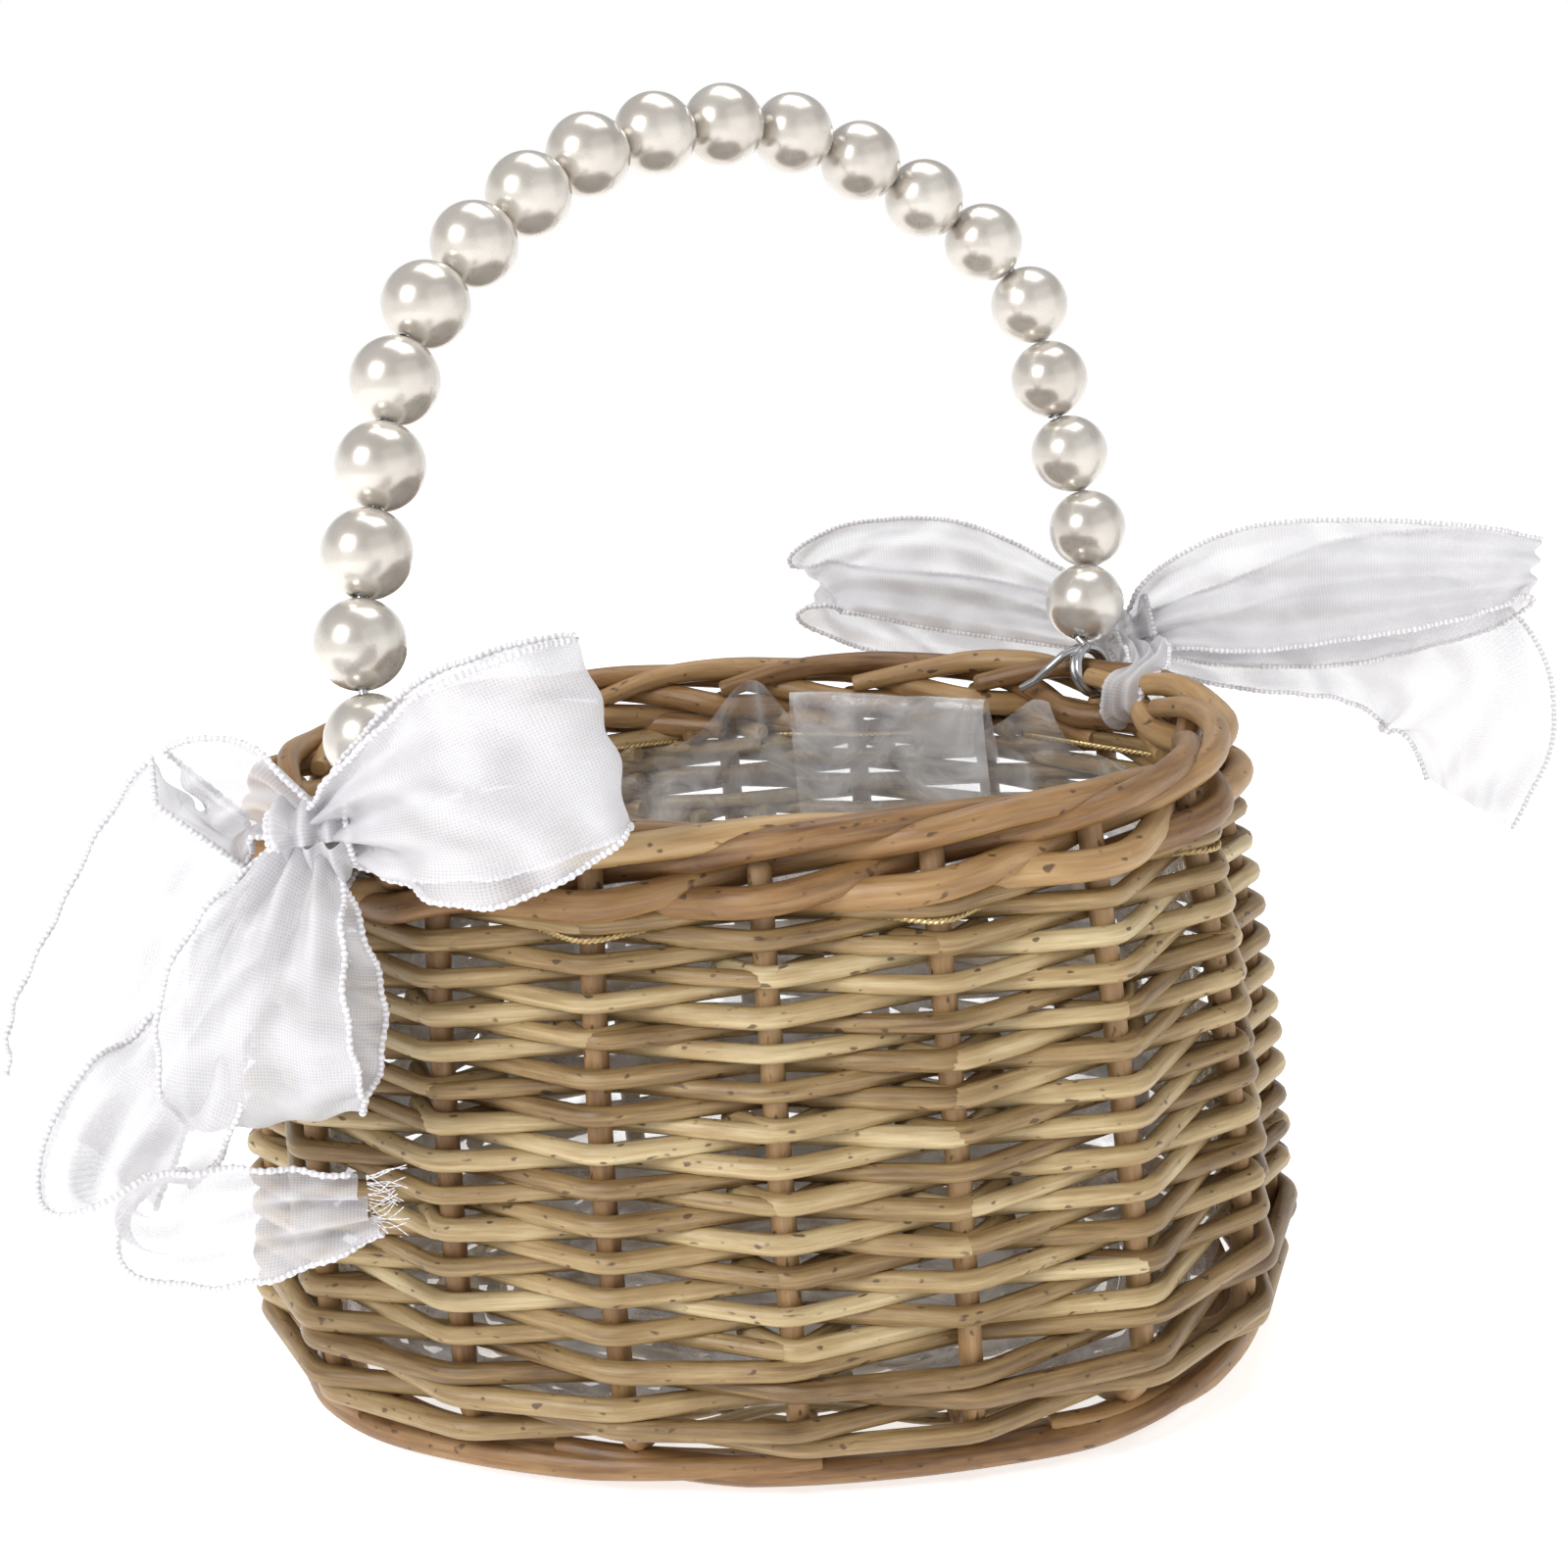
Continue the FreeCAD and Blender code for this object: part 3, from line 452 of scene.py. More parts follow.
foot = Rods()
for index in range(0, STAKES, 3):
    for radius, offset, level, shift in ((FOOT_ROD_RADIUS, FOOT_ROD_OFFSET, 2.9 * MM, 0),
                                         (EDGE_ROD_RADIUS, EDGE_ROD_OFFSET, EDGE_ROD_LEVEL, 1.5)):
        span = np.linspace(0, 1, STROKE_STEPS)
        places = index + shift + span * STROKE
        dive = np.interp(span, [0, 0.25, 0.7, 1], [-1.3, 0, 0, 1.2]) * MM
        lift = np.interp(span, [0, 0.25, 0.7, 1], [2.4, 0, 0, 2.2]) * MM
        path = wall_point(places, offset + dive, level + lift + 0.3 * MM)
        thick = np.interp(span, [0, 0.2, 0.7, 1], [0.72, 1, 1, 0.6])
        foot.add(path, radius * thick * uneven(STROKE_STEPS, 0.04, 8), rng.uniform(0, 1), sides=14)
for block in foot.points:
    np.maximum(block[:, 2], 0.0, out=block[:, 2])
foot.piece("foot", border_willow, "border_willow", "root", "foot_border_rods")

# ---------------------------------------------------------------- base
# Thin rods woven in ovals over and under the base sticks, then over and under the stakes' tails.

BASE_LEVEL = 8.65 * MM
BASE_ROD_RADIUS = 1.15 * MM
BASE_WAVE = 2.6 * MM
OVER_STICKS = 12
OVAL_STEPS, INNER_STEPS, INNER_ROUNDS = 260, 160, 11
base = Rods()
for ring, inset in enumerate(np.arange(7.5, 46.0, 2.75) * MM):
    wave = STAKES if inset < TAIL_INSET else OVER_STICKS
    places = np.linspace(0, STAKES, OVAL_STEPS)
    height = np.cos(math.pi * (places * wave / STAKES + ring))
    path = wall_point(places, np.full(OVAL_STEPS, -inset), BASE_LEVEL + height * BASE_WAVE)
    base.add(path, BASE_ROD_RADIUS * uneven(OVAL_STEPS, 0.06, 20), rng.uniform(0, 1), sides=8)
for ring, share in enumerate(np.linspace(0, 1, INNER_ROUNDS)):
    turn = np.linspace(0, 2 * math.pi, INNER_STEPS)
    half_length, half_width = (52.2 - 30 * share) * MM, (27.0 - 24.6 * share) * MM
    path = np.stack([half_length * np.cos(turn), half_width * np.sin(turn),
                     BASE_LEVEL + BASE_WAVE * np.cos(4 * turn + ring * math.pi)], axis=-1)
    base.add(path, BASE_ROD_RADIUS, rng.uniform(0, 1), sides=8)
base.piece("base_weaving", weaver_willow, "willow", "root", "base_weave")
for stick in ("base_long_sticks", "base_short_sticks"):
    for slot in bpy.data.objects[stick].material_slots:
        slot.material = stake_willow

# ---------------------------------------------------------------- lining
# A bag of clear film, pushed into the basket and crumpled against the wall; its top edge is folded
# inward over the twine and stands up in peaks.


def ruffle(columns, waves, seed):
    """A smooth repeating noise round a closed loop, about -1 to 1."""
    source = np.random.default_rng(seed)
    turn = np.linspace(0, 2 * math.pi, columns, endpoint=False)
    total = np.zeros(columns)
    for count in waves:
        total += np.sin(count * turn + source.uniform(0, 2 * math.pi)) * source.uniform(0.5, 1)
    return total / len(waves)


COLUMNS = 360
FOLD_LEVEL = 101 * MM
film_levels = np.array([14.0, 14.3, 16, 20, 28, 38, 50, 62, 74, 86, 95, 101, 105, 108.5, 112, 115.5]) * MM
film_places = np.linspace(0, STAKES, COLUMNS, endpoint=False)
film_rows = []
back = np.clip(np.sin(film_places / STAKES * 2 * math.pi - 0.5) * -1, 0, 1)
film_x, film_y = wall_point(film_places, 0 * film_places, 100 * MM)[:, :2].T / MM
tuft = (np.exp(-((film_x + 7) / 9) ** 2) + 0.7 * np.exp(-((film_x - 60) / 8) ** 2)) * (film_y > 0)
peak = 0.25 * back + 0.62 * tuft + 0.5 * np.clip(ruffle(COLUMNS, (5, 9, 14), 3), 0, 1) * (0.25 + back)
for row, level in enumerate(film_levels):
    crumple = ruffle(COLUMNS, (7, 13, 19, 31, 47), 20 + row // 2) * 0.6
    crumple = crumple + ruffle(COLUMNS, (23, 41, 60), row) * 0.4
    depth = np.interp(level / MM, [14, 20, 60, 105, 116], [2.5, 0.8, 1.6, 2.2, 4.0]) * MM
    inset = -8.6 * MM - np.abs(crumple) * depth
    if row == 0:
        inset = inset - 14 * MM
    above = max(0.0, level - FOLD_LEVEL)
    inset = inset - above * (0.4 + 1.0 * back - 0.5 * tuft)
    height = np.where(level > FOLD_LEVEL, FOLD_LEVEL + above * (0.25 + 1.3 * peak), level)
    film_rows.append(wall_point(film_places, wall_offset(min(level, WALL_TOP)) + inset, height))
film_points = np.concatenate(film_rows).tolist()
film_faces = []
for row in range(len(film_rows) - 1):
    for column in range(COLUMNS):
        after = (column + 1) % COLUMNS
        film_faces.append((row * COLUMNS + column, row * COLUMNS + after,
                           (row + 1) * COLUMNS + after, (row + 1) * COLUMNS + column))
film_points.append((0, 0, 14.4 * MM))
film_faces += [(len(film_points) - 1, (k + 1) % COLUMNS, k) for k in range(COLUMNS)]
film_mesh = bpy.data.meshes.new("lining")
film_mesh.from_pydata(film_points, [], film_faces)
film_mesh.shade_smooth()
clear_film, film_tree, film_shader, film_node = new_material("clear_film")
film_shader.inputs["Base Color"].default_value = (0.93, 0.94, 0.96, 1)
film_shader.inputs["Roughness"].default_value = 0.07
film_shader.inputs["IOR"].default_value = 1.5
film_shader.inputs["Coat Weight"].default_value = 0.6
film_place = film_node("ShaderNodeTexCoord").outputs["Object"]
film_fold = film_node("ShaderNodeTexNoise", {"Vector": film_place, "Scale": 70.0, "Detail": 5.0,
                                             "Distortion": 1.2}).outputs["Fac"]
film_bump = film_node("ShaderNodeBump", {"Height": film_fold, "Strength": 0.5, "Distance": 0.004})
film_tree.links.new(film_bump.outputs["Normal"], film_shader.inputs["Normal"])
# the film's white opacity follows the fold noise: partly the film's own faint haze, partly a painted glint
# that whitens its folds
film_haze_and_painted_glint = film_node("ShaderNodeMapRange", {"Value": film_fold, "From Min": 0.38, "From Max": 0.68,
                                             "To Min": 0.13, "To Max": 0.55}).outputs["Result"]
film_tree.links.new(film_haze_and_painted_glint, film_shader.inputs["Alpha"])
finished("lining", film_mesh, clear_film, "clear_film", "root", "liner_film")

# a flap of spare film at the back, folded over and hanging inside
FLAP_ROWS = 40
flap_places = film_places[(film_y > 0) & (film_x > 2) & (film_x < 49)]
flap_section = curve_through(np.array([(-9.5, 99), (-11, 108), (-12.5, 113), (-15, 113.2), (-16.2, 108),
                                       (-16.6, 98), (-16.0, 86), (-15.0, 76)]) * MM, FLAP_ROWS)
flap_turn = np.linspace(0, 1, len(flap_places))
flap_rows = []
for row, (reach, level) in enumerate(flap_section):
    sway = (np.sin(flap_turn * 9 + row * 0.05) * 0.7 + np.sin(flap_turn * 23 + row * 0.11) * 0.35) * MM
    slope = (flap_turn - 0.5) * 2.0 * MM
    offset = wall_offset(min(level, WALL_TOP)) + reach + sway
    flap_rows.append(wall_point(flap_places, offset, level + slope))
flap_columns = len(flap_places)
flap_faces = [(row * flap_columns + k, row * flap_columns + k + 1, (row + 1) * flap_columns + k + 1,
               (row + 1) * flap_columns + k)
              for row in range(FLAP_ROWS - 1) for k in range(flap_columns - 1)]
flap_mesh = bpy.data.meshes.new("lining_flap")
flap_mesh.from_pydata(np.concatenate(flap_rows).tolist(), [], flap_faces)
flap_mesh.shade_smooth()
finished("lining_flap", flap_mesh, clear_film, "clear_film", "root")

# ---------------------------------------------------------------- twine
# Two gold threads twisted together, laced outside one stake and inside the film at the next.

TWINE_LEVEL = 102.6 * MM
TWINE_INNER_REACH, TWINE_OUTER_REACH = 9.0 * MM, 5.6 * MM
THREAD_RADIUS, THREAD_SPREAD, TWIST_LENGTH = 0.30 * MM, 0.26 * MM, 2.4 * MM

twine_stops = np.arange(STAKES + 1)
twine_sides = np.where(twine_stops % 2 == 1, TWINE_OUTER_REACH, -TWINE_INNER_REACH)
twine_levels = TWINE_LEVEL + np.where(twine_stops % 2 == 1, -1.2, 1.0) * MM
twine_corners = wall_point(twine_stops, wall_offset(twine_levels) + twine_sides, twine_levels)
twine_path = even_path(smooth_path(twine_corners, 5 * MM, 6), 0.5 * MM)
twine_along = np.gradient(twine_path, axis=0)
twine_along /= np.linalg.norm(twine_along, axis=1)[:, None]
twine_side = np.cross(twine_along, (0, 0, 1))
twine_rise = np.cross(twine_side, twine_along)
twine_turn = np.arange(len(twine_path)) * 0.5 * MM / TWIST_LENGTH * 2 * math.pi
twine = Rods()
for thread in range(2):
    angle = (twine_turn + thread * math.pi)[:, None]
    spiral = twine_path + (twine_side * np.cos(angle) + twine_rise * np.sin(angle)) * THREAD_SPREAD
    twine.add(spiral, THREAD_RADIUS, rng.uniform(0, 1), sides=6)
gold_thread, gold_tree, gold_shader, gold_node = new_material("gold_thread")
gold_grain = gold_node("ShaderNodeUVMap", uv_map="grain").outputs["UV"]
gold_map = gold_node("ShaderNodeMapping", {"Vector": gold_grain, "Scale": (2500, 3, 1)}).outputs["Vector"]
gold_noise = gold_node("ShaderNodeTexNoise", {"Vector": gold_map, "Scale": 1.0}).outputs["Fac"]
gold_colour = ramp(gold_node, gold_noise, [(0.3, (0.36, 0.24, 0.09)), (0.7, (0.80, 0.62, 0.32))])
gold_tree.links.new(gold_colour, gold_shader.inputs["Base Color"])
gold_shader.inputs["Metallic"].default_value = 0.55
gold_shader.inputs["Roughness"].default_value = 0.38
twine.piece("twine", gold_thread, "gold_twine", "root", "liner_cord")

# ---------------------------------------------------------------- handle wire
# One bright steel wire: two turns round the rim rod at each foot, a hooked tail into the basket,
# and the arch that carries the beads.

WIRE_RADIUS = 0.85 * MM
LOOP_RADIUS, LOOP_SHIFT = 4.9 * MM, 1.3 * MM
LOOP_TURNS, LOOP_STEPS = 2, 90
TAIL_POINTS = [(2.6, 1.2, 5.0), (5.4, 3.0, 3.8), (7.6, 5.2, 1.2), (8.6, 8.0, -1.4), (9.4, 11.0, -3.0)]
bead_joints = [joints["bead_%02d_spin" % (index + 1)] for index in range(20)]
bead_centres = np.array([joint["pos_m"] for joint in bead_joints])
bead_axes = np.array([joint["axis"] for joint in bead_joints])
BEAD_RADIUS = 8 * MM

wire = Rods()
arch = [bead_centres[0] - bead_axes[0] * BEAD_RADIUS]
for centre, axis in zip(bead_centres, bead_axes):
    arch += [centre - axis * BEAD_RADIUS * 0.6, centre + axis * BEAD_RADIUS * 0.6]
arch.append(bead_centres[-1] + bead_axes[-1] * BEAD_RADIUS)
for end, foot_point, next_point in ((0, LEFT_FOOT, arch[0]), (1, RIGHT_FOOT, arch[-1])):
    leg = (next_point - foot_point) / np.linalg.norm(next_point - foot_point)
    place = FOOT_PLACES[end]
    outward = np.append(plan(place)[1], 0)
    along_rod = np.cross((0, 0, 1), outward)
    across = along_rod - leg * (along_rod @ leg)
    across /= np.linalg.norm(across)
    inward = np.cross(across, leg)
    if inward @ outward > 0:
        inward = -inward
    leftward = np.cross(outward, (0, 0, 1))
    leftward *= -np.sign(leftward[0])
    turns = np.linspace(0, LOOP_TURNS * 2 * math.pi, LOOP_STEPS)
    drift = np.linspace(-LOOP_SHIFT, LOOP_SHIFT, LOOP_STEPS)
    coil = [foot_point + (leg * math.cos(turn) + inward * math.sin(turn)) * LOOP_RADIUS + across * shift
            for turn, shift in zip(turns, drift)]
    tail = [foot_point - outward * reach * MM + leftward * along * MM + np.array((0, 0, rise)) * MM
            for reach, along, rise in TAIL_POINTS]
    strand = [next_point] + coil + tail
    if end == 0:
        arch = strand[::-1] + arch[1:]
    else:
        arch = arch[:-1] + strand
arch = np.array(arch)
arch = even_path(arch, 1.2 * MM)
wire.add(arch, WIRE_RADIUS, 0.5, sides=12, reference=np.cross(foot_line, bead_centres[9] - LEFT_FOOT))
bright_steel, steel_tree, steel_shader, steel_node = new_material("bright_steel")
steel_grain = steel_node("ShaderNodeUVMap", uv_map="grain").outputs["UV"]
steel_map = steel_node("ShaderNodeMapping", {"Vector": steel_grain, "Scale": (40, 30, 1)}).outputs["Vector"]
steel_noise = steel_node("ShaderNodeTexNoise", {"Vector": steel_map, "Scale": 1.0,
                                                "Detail": 4.0}).outputs["Fac"]
steel_tree.links.new(ramp(steel_node, steel_noise, [(0.3, (0.42, 0.43, 0.44)), (0.7, (0.66, 0.67, 0.68))]),
                     steel_shader.inputs["Base Color"])
steel_shader.inputs["Metallic"].default_value = 1.0
steel_rough = steel_node("ShaderNodeMapRange", {"Value": steel_noise, "To Min": 0.2,
                                                "To Max": 0.36}).outputs["Result"]
steel_tree.links.new(steel_rough, steel_shader.inputs["Roughness"])
wire.piece("wire", bright_steel, "steel_wire", "handle", "handle_wire")

# ---------------------------------------------------------------- pearl beads
# Moulded beads with a pearl coat: round, with a small rimmed hole at each end and a faint mould line.

HOLE_RADIUS = 1.25 * MM
pearl, pearl_tree, pearl_shader, pearl_node = new_material("pearl_coat")
pearl_place = pearl_node("ShaderNodeTexCoord").outputs["Object"]
pearl_cloud = pearl_node("ShaderNodeTexNoise", {"Vector": pearl_place, "Scale": 90.0,
                                                "Detail": 3.0}).outputs["Fac"]
pearl_tree.links.new(ramp(pearl_node, pearl_cloud, [(0.3, (0.60, 0.55, 0.49)), (0.7, (0.72, 0.68, 0.62))]),
                     pearl_shader.inputs["Base Color"])
pearl_shader.inputs["Metallic"].default_value = 0.62
pearl_rough = pearl_node("ShaderNodeMapRange", {"Value": pearl_cloud, "To Min": 0.22,
                                                "To Max": 0.32}).outputs["Result"]
pearl_tree.links.new(pearl_rough, pearl_shader.inputs["Roughness"])
pearl_shader.inputs["Coat Weight"].default_value = 1.0
pearl_shader.inputs["Coat Roughness"].default_value = 0.11

hole_edge = math.asin(HOLE_RADIUS / BEAD_RADIUS)
latitudes = np.linspace(hole_edge, math.pi - hole_edge, 40)
profile = [(BEAD_RADIUS * math.sin(a), BEAD_RADIUS * math.cos(a)) for a in latitudes]
lip = HOLE_RADIUS * 0.92
profile = ([(lip, BEAD_RADIUS * 0.80), (lip, BEAD_RADIUS * 0.955)] + profile
           + [(lip, -BEAD_RADIUS * 0.955), (lip, -BEAD_RADIUS * 0.80)])
SEGMENTS = 64
for index, (centre, axis) in enumerate(zip(bead_centres, bead_axes)):
    number = "%02d" % (index + 1)
    points = []
    for radius, height in profile:
        for step in range(SEGMENTS):
            angle = step * 2 * math.pi / SEGMENTS
            seam = 1 + 0.004 * math.exp(-(math.sin(angle) / 0.05) ** 2)
            points.append((radius * math.cos(angle) * seam, radius * math.sin(angle) * seam, height))
    faces = []
    for row in range(len(profile) - 1):
        for step in range(SEGMENTS):
            after = (step + 1) % SEGMENTS
            faces.append((row * SEGMENTS + step, (row + 1) * SEGMENTS + step,
                          (row + 1) * SEGMENTS + after, row * SEGMENTS + after))
    mesh = bpy.data.meshes.new("pearl_" + number)
    mesh.from_pydata(points, [], faces)
    twist = Matrix.Rotation(rng.uniform(0, 2 * math.pi), 4, "Z")
    turned = Vector(axis).to_track_quat("Z", "Y").to_matrix().to_4x4() @ twist
    mesh.transform(Matrix.Translation(Vector(centre)) @ turned)
    mesh.shade_smooth()
    finished("pearl_" + number, mesh, pearl, "pearl", "bead_%s_body" % number, "bead_" + number)

# ---------------------------------------------------------------- ribbon bows
# Sheer white organza, 36 mm wide, with a stitched rolled edge on both sides.  Each loop and tail is
# gathered into the knot and tied round the rim beside a handle foot.

RIBBON_WIDTH = 36 * MM
ROWS, THREADS = 30, 110
GATHERS_ACROSS, GATHER_DRIFT = 9.5, 25
WAVE_DEPTH, FRILL_DEPTH = 1.5 * MM, 0.8 * MM
HEM_RADIUS, HEM_STEP, STITCH_LENGTH = 0.50 * MM, 0.7, 2.2

organza, organza_tree, organza_shader, organza_node = new_material("organza")
organza_map = organza_node("ShaderNodeUVMap", uv_map="weave").outputs["UV"]
warp = organza_node("ShaderNodeTexWave", {"Vector": organza_map, "Scale": 520.0, "Distortion": 0.6,
                                          "Detail": 1.0}, bands_direction="X").outputs["Fac"]
weft = organza_node("ShaderNodeTexWave", {"Vector": organza_map, "Scale": 560.0, "Distortion": 0.6,
                                          "Detail": 1.0}, bands_direction="Y").outputs["Fac"]
thread = organza_node("ShaderNodeMath", {0: warp, 1: weft}, operation="MAXIMUM").outputs[0]
moire = organza_node("ShaderNodeTexWave", {"Vector": organza_map, "Scale": 34.0, "Distortion": 11.0,
                                           "Detail": 2.0}, bands_direction="DIAGONAL").outputs["Fac"]
sheer = organza_node("ShaderNodeMath", {0: moire, 1: 0.20, 2: 0.45}, operation="MULTIPLY_ADD").outputs[0]
sheer = organza_node("ShaderNodeMath", {0: thread, 1: 0.18, 2: sheer}, operation="MULTIPLY_ADD").outputs[0]
organza_tree.links.new(sheer, organza_shader.inputs["Alpha"])
organza_shader.inputs["Base Color"].default_value = (0.72, 0.71, 0.735, 1)
organza_shader.inputs["Roughness"].default_value = 0.45
organza_shader.inputs["Sheen Weight"].default_value = 0.15
organza_bump = organza_node("ShaderNodeBump", {"Height": thread, "Strength": 0.3, "Distance": 0.0003})
organza_tree.links.new(organza_bump.outputs["Normal"], organza_shader.inputs["Normal"])

stitching, stitch_tree, stitch_shader, stitch_node = new_material("stitched_edge")
stitch_map = stitch_node("ShaderNodeUVMap", uv_map="grain").outputs["UV"]
stitch_wave = stitch_node("ShaderNodeTexWave", {"Vector": stitch_map, "Scale": 300.0,
                                                "Distortion": 1.0}).outputs["Fac"]
stitch_colour = ramp(stitch_node, stitch_wave, [(0.2, (0.60, 0.585, 0.61)), (0.8, (0.86, 0.85, 0.87))])
stitch_tree.links.new(stitch_colour, stitch_shader.inputs["Base Color"])
stitch_shader.inputs["Roughness"].default_value = 0.6
stitch_shader.inputs["Sheen Weight"].default_value = 0.15


def ribbon(label, spine, across, widths, pleats, seed, cut=0.0, solid=True):
    """A length of ribbon: spine points, the direction of its width at each, and half widths in mm.

    pleats is the depth of the gathers where the ribbon is narrow, which ease off at a loop's far end;
    cut slants a tail's free end.  A ribbon with a solid of its own replaces the node of that label.
    """
    name = label.replace("bow", "ribbon")
    source = np.random.default_rng(seed)
    line = curve_through(np.array(spine, float) * MM, THREADS)
    cross = curve_through(np.array(across, float), THREADS)
    half = curve_through(np.array(widths, float)[:, None] * MM, THREADS)[:, 0]
    along = np.gradient(line, axis=0)
    along /= np.linalg.norm(along, axis=1)[:, None]
    cross -= along * np.sum(cross * along, axis=1)[:, None]
    cross /= np.linalg.norm(cross, axis=1)[:, None]
    face = np.cross(along, cross)
    length = np.concatenate([[0], np.cumsum(np.linalg.norm(np.diff(line, axis=0), axis=1))])
    gather = np.clip(1 - half / (RIBBON_WIDTH * 0.5), 0, 1)
    phase = source.uniform(0, 6.28, 4)
    fading = np.ones(THREADS)
    if not cut:
        fading -= 0.6 * np.exp(-((length / length[-1] - 0.5) / 0.13) ** 2)
    grid = np.zeros((THREADS, ROWS + 1, 3))
    for j, side in enumerate(np.linspace(-1, 1, ROWS + 1)):
        turn = side * GATHERS_ACROSS + phase[0] + length * GATHER_DRIFT
        fold = pleats * MM * np.sqrt(gather) * np.sin(turn) * fading
        wave = WAVE_DEPTH * np.sin(length / MM * 0.13 + phase[1] + side * 2.2) * (0.3 + abs(side))
        frill = FRILL_DEPTH * abs(side) ** 3 * np.sin(length / MM * 0.62 + phase[2] + (side > 0) * 1.7)
        slant = cut * MM * side * np.clip((length / length[-1] - 0.7) / 0.3, 0, 1)
        grid[:, j] = (line + along * slant[:, None] + cross * (half * side)[:, None]
                      + face * (fold + wave + frill)[:, None])
    mesh = bpy.data.meshes.new(name)
    columns = ROWS + 1
    faces = [(i * columns + j, i * columns + j + 1, (i + 1) * columns + j + 1, (i + 1) * columns + j)
             for i in range(THREADS - 1) for j in range(ROWS)]
    mesh.from_pydata(grid.reshape(-1, 3).tolist(), [], faces)
    weave = mesh.uv_layers.new(name="weave")
    corner_uv = [(length[i], j / ROWS * RIBBON_WIDTH) for i in range(THREADS) for j in range(ROWS + 1)]
    weave.data.foreach_set("uv", np.array([corner_uv[loop.vertex_index] for loop in mesh.loops]).ravel())
    mesh.shade_smooth()
    piece = finished(name, mesh, organza, "sheer_ribbon", "root", *[label] * solid)
    edge = Rods()
    for column in (0, ROWS):
        hem = even_path(grid[:, column], HEM_STEP * MM)
        stitch = np.sin(np.arange(len(hem)) * HEM_STEP / STITCH_LENGTH * 2 * math.pi)
        edge.add(hem, HEM_RADIUS * (1 + 0.30 * stitch), 0.5, sides=8, reference=(0.1, 1, 0.1))
    hems = edge.piece(name + "_hem", stitching, "sheer_ribbon", "root")
    return piece


ribbon("left_bow_front_loop",
       [(-54, -80, 123), (-42, -88, 127), (-27, -93, 131), (-11, -91, 137), (-5, -85, 139), (-12, -82, 137),
        (-30, -81, 131), (-45, -79.5, 126), (-54, -79, 123)],
       [(-0.2, 0, 1), (-0.2, 0, 1), (-0.25, 0, 1), (-0.3, 0, 1), (-0.3, 0, 1), (-0.3, 0, 1), (-0.2, 0, 1),
        (-0.2, 0, 1), (-0.2, 0, 1)],
       [4, 11, 17, 17, 15, 17, 17, 11, 4], 2.6, 1)
ribbon("left_bow_hanging_loop",
       [(-56, -81, 122), (-60, -89, 112), (-64, -93, 98), (-66, -91, 83), (-66, -85, 76), (-66, -80, 84),
        (-64, -79, 99), (-60, -79, 112), (-56, -80, 121)],
       [(1, 0, 0.3), (1, 0, 0.2), (1, 0, 0.05), (1, 0, 0), (1, 0, 0), (1, 0, 0), (1, 0, 0.05), (1, 0, 0.2),
        (1, 0, 0.3)],
       [4, 11, 16, 17, 15, 17, 16, 10, 4], 2.6, 2)
ribbon("left_bow_outer_tail",
       [(-57, -79, 124), (-66, -76, 129), (-76, -75, 126), (-85, -76, 114), (-91, -77, 100), (-98, -78, 84),
        (-104, -78, 70)],
       [(0.3, 0.1, 1), (0.3, 0.1, 1), (0.8, 0, 0.6), (1, 0, 0.2), (1, 0, -0.1), (1, 0, -0.35),
        (1, 0, -0.5)],
       [4, 8, 12, 14, 16, 17, 16], 2.4, 3, cut=6.0)
ribbon("left_bow_lower_tail",
       [(-62, -79, 116), (-72, -83, 100), (-82, -88, 84), (-92, -92, 70), (-86, -94, 62), (-70, -92, 62),
        (-51, -89, 63)],
       [(1, 0, 0.6), (1, 0, 0.6), (0.9, 0, 0.5), (0.7, 0.2, -0.7), (0, 0.2, -1), (0, 0, -1), (0, 0, -1)],
       [4, 9, 13, 12, 12, 10, 5], 2.8, 4, cut=2.0)

# loose threads where the lower tail is cut off
fray = Rods()
for thread_number in range(26):
    fray_start = np.array([-50.5, -89, 63.5 + rng.uniform(-4, 5)]) * MM
    fray_reach = np.array([rng.uniform(3, 7.5), rng.uniform(-2.5, 0.5), rng.uniform(-3, 3.5)]) * MM
    fray_droop = np.array([0, 0, rng.uniform(-1.5, 1)]) * MM
    fray_line = [fray_start, fray_start + fray_reach * 0.5 + fray_droop, fray_start + fray_reach]
    fray.add(curve_through(np.array(fray_line), 7), 0.09 * MM, 0.5, sides=5, reference=(0, 1, 0.1))
fray.piece("left_ribbon_fray", stitching, "sheer_ribbon", "root")
ribbon("right_bow_inner_loop",
       [(70, 72, 120), (54, 79, 127), (34, 84, 133), (14, 87, 135), (5, 88, 131), (16, 92, 125),
        (38, 91, 121), (56, 84, 119), (70, 75, 119)],
       [(0, 0.2, 1)] * 9,
       [4, 9, 12, 10, 8, 9, 10, 8, 4], 2.6, 5)
ribbon("right_bow_outer_loop",
       [(74, 70, 121), (84, 66, 127), (100, 65, 130), (122, 66, 131), (145, 69, 131), (157, 74, 130),
        (146, 79, 127), (120, 78, 124), (95, 75, 121), (76, 72, 120)],
       [(-0.2, 0.1, 1)] * 2 + [(0, 0.1, 1)] * 8,
       [4, 9, 13, 12, 9, 6, 11, 13, 9, 4], 2.6, 6)
ribbon("right_bow_tail",
       [(76, 73, 117), (96, 76, 115), (120, 77, 116), (138, 77, 110), (145, 76, 97), (144, 74, 80)],
       [(0, 0.1, 1), (0, 0.1, 1), (0.2, 0, 1), (0.7, 0, 0.7), (1, 0, 0.25), (1, 0, 0.1)],
       [4, 8, 13, 18, 17, 9], 2.6, 7, cut=5.0)


